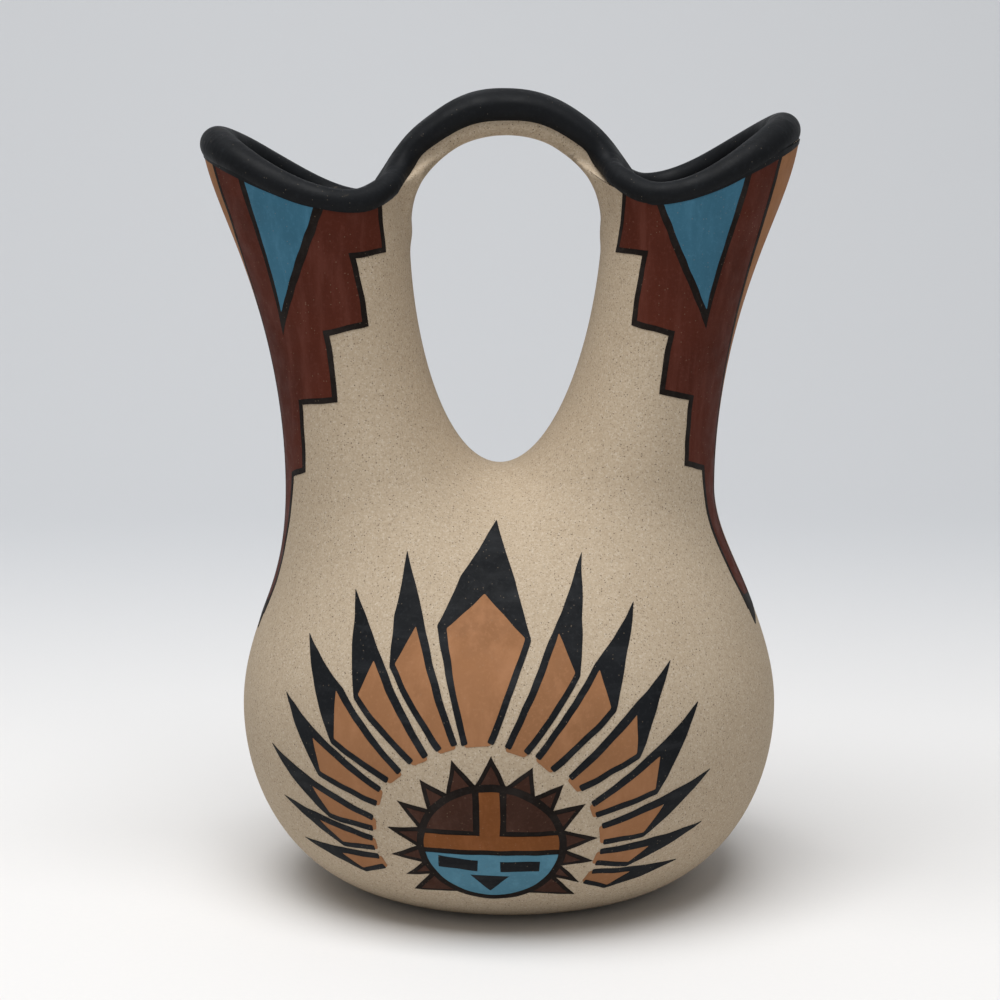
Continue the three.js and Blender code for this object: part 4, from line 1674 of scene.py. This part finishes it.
def inward(start, end, inside):
    """The direction across a painted line, towards a point inside the shape."""
    run = (end - start) / np.linalg.norm(end - start)
    across = np.array([-run[1], run[0]])
    return across * np.sign(across @ (inside - start))


class VaseFeathers(bpy.types.Operator):
    """Paint the fan of feathers on the front and the back"""

    bl_idname = "vase.feathers"
    bl_label = "Feather Fan"
    # How far a field reaches down past the feet of its lines, and how far it runs under them
    foot_reach = 0.0011
    under_line = 0.0006
    foot_share = 0.6
    top_share = 0.3

    def execute(self, context):
        paint = context.scene.vase_paint
        fan = context.scene.vase_fan
        fill = Coat(paint, paint.field_thickness)
        lines = Coat(paint, paint.line_thickness)
        for facing in (1, -1):
            chart = BodyChart(facing)
            for outline, field in self.feathers(fan, paint):
                fill.draw(chart, rounded(field, SOFT_CORNER))
                lines.draw(chart, rounded(outline, SHARP_CORNER))
        fill.finish("fan_orange", material_for("orange_slip"), "orange_slip")
        lines.finish("fan_black", material_for("black_slip"), "black_slip")
        return {"FINISHED"}

    def feathers(self, fan, paint):
        centre = np.array([fan.centre_u, fan.centre_v])

        def at(degrees, millimetre):
            return polar(centre, degrees + math.degrees(fan.tilt), millimetre / 1000)

        yield self.middle_feather(at, fan.line_width)
        for side, spots in FEATHERS:
            for row in spots:
                yield self.side_feather(*[at(side * a, r) for a, r in row], fan.line_width)

    def middle_feather(self, at, width):
        spots = {name: [at(*spot) for spot in pair] for name, pair in MIDDLE_FEATHER.items()
                 if name not in ("tip", "apex")}
        tip, apex = at(*MIDDLE_FEATHER["tip"]), at(*MIDDLE_FEATHER["apex"])
        halves = []
        for side in (0, 1):
            foot, flank, shoulder, upper, corner = [
                spots[name][side] for name in ("foot", "side", "shoulder", "upper_side", "corner")]
            low = foot + inward(foot, flank, apex) * width
            bend = flank + inward(foot, shoulder, apex) * width
            halves.append(([foot, flank, shoulder, upper], [corner, bend, low]))
        (left, left_in), (right, right_in) = halves
        outline = left + [tip] + right[::-1] + right_in[::-1] + [apex] + left_in
        down = np.array([0.0, -self.foot_reach])
        wide, foot = np.array([self.under_line, 0]), np.array([0.001, 0])
        field = [left_in[2] + down - foot, left_in[1] - wide, left_in[0] - wide,
                 apex + wide[::-1], right_in[0] + wide, right_in[1] + wide,
                 right_in[2] + down + foot]
        return np.array(outline), np.array(field)

    def side_feather(self, inner, flank, tip, upper, shoulder, outer, apex, width):
        to_inside = inward(inner, flank, outer) * width
        to_centre = inward(outer, shoulder, inner) * width
        low_in, low_out = inner + to_inside, outer + to_centre
        corner = shoulder + to_centre * 0.9 + (outer - shoulder) * 0.01
        outline = [inner, flank, tip, upper, shoulder, outer, low_out, corner, apex, low_in]
        down = (inner - flank) / np.linalg.norm(inner - flank) * self.foot_reach
        over = (tip - apex) / np.linalg.norm(tip - apex) * self.under_line
        field = [low_in + down - to_inside * self.foot_share,
                 apex - to_inside * self.top_share + over,
                 corner - to_centre * self.top_share + over,
                 low_out + down - to_centre * self.foot_share]
        return np.array(outline), np.array(field)


# The sun's top ray: its start, middle and end angles, and its reach
TOP_RAY = (-12.5, 0.0, 13.0), 0.0318
# Angles and reaches of the other rays at each side of it, from the top down
RAY_TIPS = {
    -1: ((22.4, 0.0326), (44.4, 0.0320), (63.6, 0.0340), (81.6, 0.0352),
         (98.9, 0.0358), (113.6, 0.0347), (124.6, 0.0376)),
    1: ((24.0, 0.0313), (44.2, 0.0320), (61.4, 0.0337), (83.8, 0.0352),
        (98.8, 0.0355), (114.8, 0.0352), (124.0, 0.0386)),
}


class VaseSunFace(bpy.types.Operator):
    """Paint the sun on the front and the back"""

    bl_idname = "vase.sun"
    bl_label = "Sun"
    # How far neighbouring rays overlap, and how far past the last ray the ring is bare
    ray_overlap = 1.5
    last_gap = 50

    def execute(self, context):
        paint = context.scene.vase_paint
        sun = context.scene.vase_sun
        low = paint.field_thickness
        high = paint.line_thickness + SUN_LIFT
        coats = {
            "ground": Coat(paint, low),
            "rays": Coat(paint, high),
            "ring": Coat(paint, high + RING_LIFT),
            "brown": Coat(paint, high),
            "orange": Coat(paint, high),
            "blue": Coat(paint, high),
            "marks": Coat(paint, high + SUN_LIFT),
        }
        for facing in (1, -1):
            chart = BodyChart(facing)
            self.paint_rays(chart, sun, coats)
            self.paint_face(chart, sun, coats)
        finishes = {"ground": "line_slip", "rays": "dark_brown_slip", "ring": "line_slip",
                    "brown": "dark_brown_slip", "orange": "deep_orange_slip",
                    "blue": "sun_blue_slip", "marks": "black_slip"}
        slots = {"line_slip": "black_slip", "sun_blue_slip": "turquoise_slip"}
        for key, finish in finishes.items():
            coats[key].finish("sun_" + key, material_for(finish), slots.get(finish, finish))
        return {"FINISHED"}

    def ring(self, sun, inset, start=0, end=360, steps=96):
        """Points round the sun's ring, from an angle off straight up, clockwise."""
        turn = np.radians(np.linspace(start, end, steps, endpoint=end - start < 359))
        wide, tall = sun.half_width - inset, sun.half_height - inset
        centre = [sun.centre_u, sun.centre_v]
        return centre + np.stack([wide * np.sin(turn), tall * np.cos(turn)], -1)

    def paint_rays(self, chart, sun, coats):
        self.paint_ray(chart, sun, coats, 1, *TOP_RAY)
        for side, tips in RAY_TIPS.items():
            angles = [0.0] + [angle for angle, _ in tips] + [tips[-1][0] + self.last_gap]
            for number, (angle, reach) in enumerate(tips):
                start = (angles[number] + angle) / 2 - self.ray_overlap
                end = (angle + angles[number + 2]) / 2 + self.ray_overlap
                self.paint_ray(chart, sun, coats, side, (start, angle, end), reach)
        outer, inner = self.ring(sun, 0), self.ring(sun, sun.ring_width)
        coats["ring"].draw(chart, np.vstack([outer, outer[:1], inner[:1], inner[::-1]]))

    def paint_ray(self, chart, sun, coats, side, angles, reach):
        """One pointed ray, with its black line inside its outline."""
        centre = np.array([sun.centre_u, sun.centre_v])
        start, middle, end = angles
        base = [self.ring(sun, 0.0008, side * a, side * a + 0.01, 1)[0] for a in (start, end)]
        tip = polar(centre, side * middle + 1.0, reach)
        coats["ground"].draw(chart, np.array([base[0], tip, base[1]]))
        foot = (base[0] + base[1]) / 2
        half = np.linalg.norm(base[1] - base[0]) / 2
        slant = math.atan2(half, np.linalg.norm(tip - foot))
        short = sun.ray_line_width / math.sin(slant) / np.linalg.norm(tip - foot)
        narrow = sun.ray_line_width / math.cos(slant) / half
        inner = [mix(base[0], foot, narrow), mix(tip, foot, short), mix(base[1], foot, narrow)]
        coats["rays"].draw(chart, np.array(inner))

    def paint_face(self, chart, sun, coats):
        ring = self.ring(sun, sun.ring_width - 0.0004)
        # Sides of the bar, the black line beside it, and heights from the brow down
        bar_left, bar_right, line = -0.0096, -0.0031, 0.0021
        brow, band_top, band_foot, cheek_top = -0.0210, -0.0227, -0.0280, -0.0300

        def clipped(low, high, left, right):
            """The part of the ring's inside between two heights and two sides."""
            box = np.clip(ring, [left, low], [right, high])
            keep = [box[0]]
            for point in box[1:]:
                if np.linalg.norm(point - keep[-1]) > 2e-4:
                    keep.append(point)
            return np.array(keep)

        wide = sun.half_width + 0.01
        far_left, far_right = sun.centre_u - wide, sun.centre_u + wide
        top, foot = sun.centre_v + wide, sun.centre_v - wide
        coats["ground"].draw(chart, self.ring(sun, 0.0006))
        coats["orange"].draw(chart, clipped(band_top - 0.0004, top, bar_left, bar_right))
        coats["brown"].draw(chart, clipped(brow, top, far_left, bar_left - line))
        coats["brown"].draw(chart, clipped(brow, top, bar_right + line, far_right))
        coats["orange"].draw(chart, clipped(band_foot, band_top, far_left, far_right))
        coats["blue"].draw(chart, clipped(foot, cheek_top, far_left, far_right))
        # The two eye bars and the triangle under them
        for shape in (millimetres((-24.1, -30.9), (-10.6, -32.2), (-11.1, -36.7), (-24.6, -35.5)),
                      millimetres((-3.2, -32.6), (10.1, -32.5), (10.1, -36.6), (-3.1, -36.9)),
                      millimetres((-13.8, -38.5), (-0.2, -38.8), (-7.1, -46.0))):
            coats["marks"].draw(chart, shape)


def stage_material(stage):
    """Matte paper sweep: pale floor colour that grows into a greyer backdrop colour up the sweep
    and back from the vase, a painted shade where less of the lamp's light falls.
    """
    shader = Shader("sweep_paper")
    split = shader.node("ShaderNodeSeparateXYZ")
    shader.join(shader.place, split.inputs["Vector"])
    # Painted shade: the paper's colour turns greyer with height and with distance behind the vase
    climb = shader.band(split.outputs["Z"], 0.0, 0.35)
    back = shader.band(split.outputs["Y"], 0.0, 0.7)
    both = shader.node("ShaderNodeMath", operation="MAXIMUM")
    shader.join(climb, both.inputs[0])
    shader.join(back, both.inputs[1])
    colour = shader.blend(both.outputs["Value"], stage.floor, stage.backdrop)
    grain = shader.band(shader.noise(500, 2), 0.3, 0.7, 0, 0.04)
    colour = shader.blend(grain, colour, stage.backdrop)
    roughness = shader.band(shader.noise(60, 2), 0.3, 0.7, 0.9, 1.0)
    return shader.finish(colour, roughness, shader.bump(shader.noise(900, 2), 0.0001, 0.1), 0.0)


class VaseStageSetup(bpy.types.Operator):
    """Make the sweep, the lights and the camera"""

    bl_idname = "vase.stage"
    bl_label = "Stage"
    lamp_place = (-0.16, -0.46, 1.74)
    lamp_aim = (0, 0, 0.12)
    lamp_size = (1.6, 1.2)

    def execute(self, context):
        stage = context.scene.vase_stage
        self.add_sweep(stage)
        self.add_lights(context.scene, stage)
        self.add_camera(context.scene, stage)
        context.scene.view_settings.view_transform = "Standard"
        return {"FINISHED"}

    def add_sweep(self, stage):
        """A floor that turns up into a backdrop, well behind the vase."""
        bend, back, half_width = 0.6, 1.3, 3.0
        profile = [(-3.0, 0.0), (back - bend, 0.0)]
        for turn in np.linspace(0, math.pi / 2, 16)[1:]:
            profile.append((back - bend + bend * math.sin(turn), bend - bend * math.cos(turn)))
        profile.append((back, 3.0))
        points, faces = [], []
        for y, z in profile:
            points.extend([(-half_width, y, z), (half_width, y, z)])
        for row in range(len(profile) - 1):
            faces.append((2 * row, 2 * row + 1, 2 * row + 3, 2 * row + 2))
        mesh = new_mesh("sweep", points, faces)
        mesh.shade_smooth()
        mesh.materials.append(stage_material(stage))
        sweep = bpy.data.objects.new("sweep", mesh)
        bpy.context.scene.collection.objects.link(sweep)

    def add_lights(self, scene, stage):
        world = bpy.data.worlds.new("even_sky")
        world.use_nodes = True
        back = world.node_tree.nodes["Background"]
        back.inputs["Color"].default_value = (1, 1, 1, 1)
        back.inputs["Strength"].default_value = stage.sky_strength
        scene.world = world
        lamp = bpy.data.lights.new("soft_lamp", "AREA")
        lamp.shape = "RECTANGLE"
        lamp.size, lamp.size_y = self.lamp_size
        lamp.energy = stage.lamp_power
        place = Vector(self.lamp_place)
        holder = bpy.data.objects.new("soft_lamp", lamp)
        holder.location = place
        holder.rotation_euler = (Vector(self.lamp_aim) - place).to_track_quat("-Z", "Y").to_euler()
        scene.collection.objects.link(holder)

    def add_camera(self, scene, stage):
        camera = bpy.data.cameras.new("camera")
        camera.sensor_width = 36
        camera.lens = stage.camera_lens
        camera.clip_start = 0.01
        holder = bpy.data.objects.new("camera", camera)
        holder.location = (stage.camera_x, -stage.camera_distance, stage.camera_height)
        holder.rotation_euler = (math.pi / 2 - stage.camera_pitch, 0, 0)
        scene.collection.objects.link(holder)
        scene.camera = holder


GROUPS = {
    "vase_form": VaseForm,
    "vase_paint": VasePaint,
    "vase_fan": VaseFan,
    "vase_sun": VaseSun,
    "vase_colours": VaseColours,
    "vase_stage": VaseStage,
}
OPERATORS = (VaseStageSetup, VaseLowerClay, VaseUpperClay, VaseLip, VaseMouths, VasePanels,
             VaseFeathers, VaseSunFace)


class VasePanel(bpy.types.Panel):
    """Lists the vase's sizes, colours and making steps"""

    bl_idname = "VIEW3D_PT_wedding_vase"
    bl_label = "Wedding Vase"
    bl_space_type = "VIEW_3D"
    bl_region_type = "UI"
    bl_category = "Vase"

    def draw(self, context):
        for key, group in GROUPS.items():
            box = self.layout.box()
            box.label(text=key.replace("vase_", "").capitalize())
            for name in group.__annotations__:
                box.prop(getattr(context.scene, key), name)
        for operator in OPERATORS:
            self.layout.operator(operator.bl_idname)


def register():
    for group in GROUPS.values():
        bpy.utils.register_class(group)
    for operator in OPERATORS:
        bpy.utils.register_class(operator)
    bpy.utils.register_class(VasePanel)
    for key, group in GROUPS.items():
        setattr(bpy.types.Scene, key, PointerProperty(type=group))


def unregister():
    for key in GROUPS:
        delattr(bpy.types.Scene, key)
    bpy.utils.unregister_class(VasePanel)
    for operator in reversed(OPERATORS):
        bpy.utils.unregister_class(operator)
    for group in reversed(tuple(GROUPS.values())):
        bpy.utils.unregister_class(group)


def main():
    register()
    for operator in OPERATORS:
        family, name = operator.bl_idname.split(".")
        getattr(getattr(bpy.ops, family), name)()


if __name__ == "__main__":
    main()
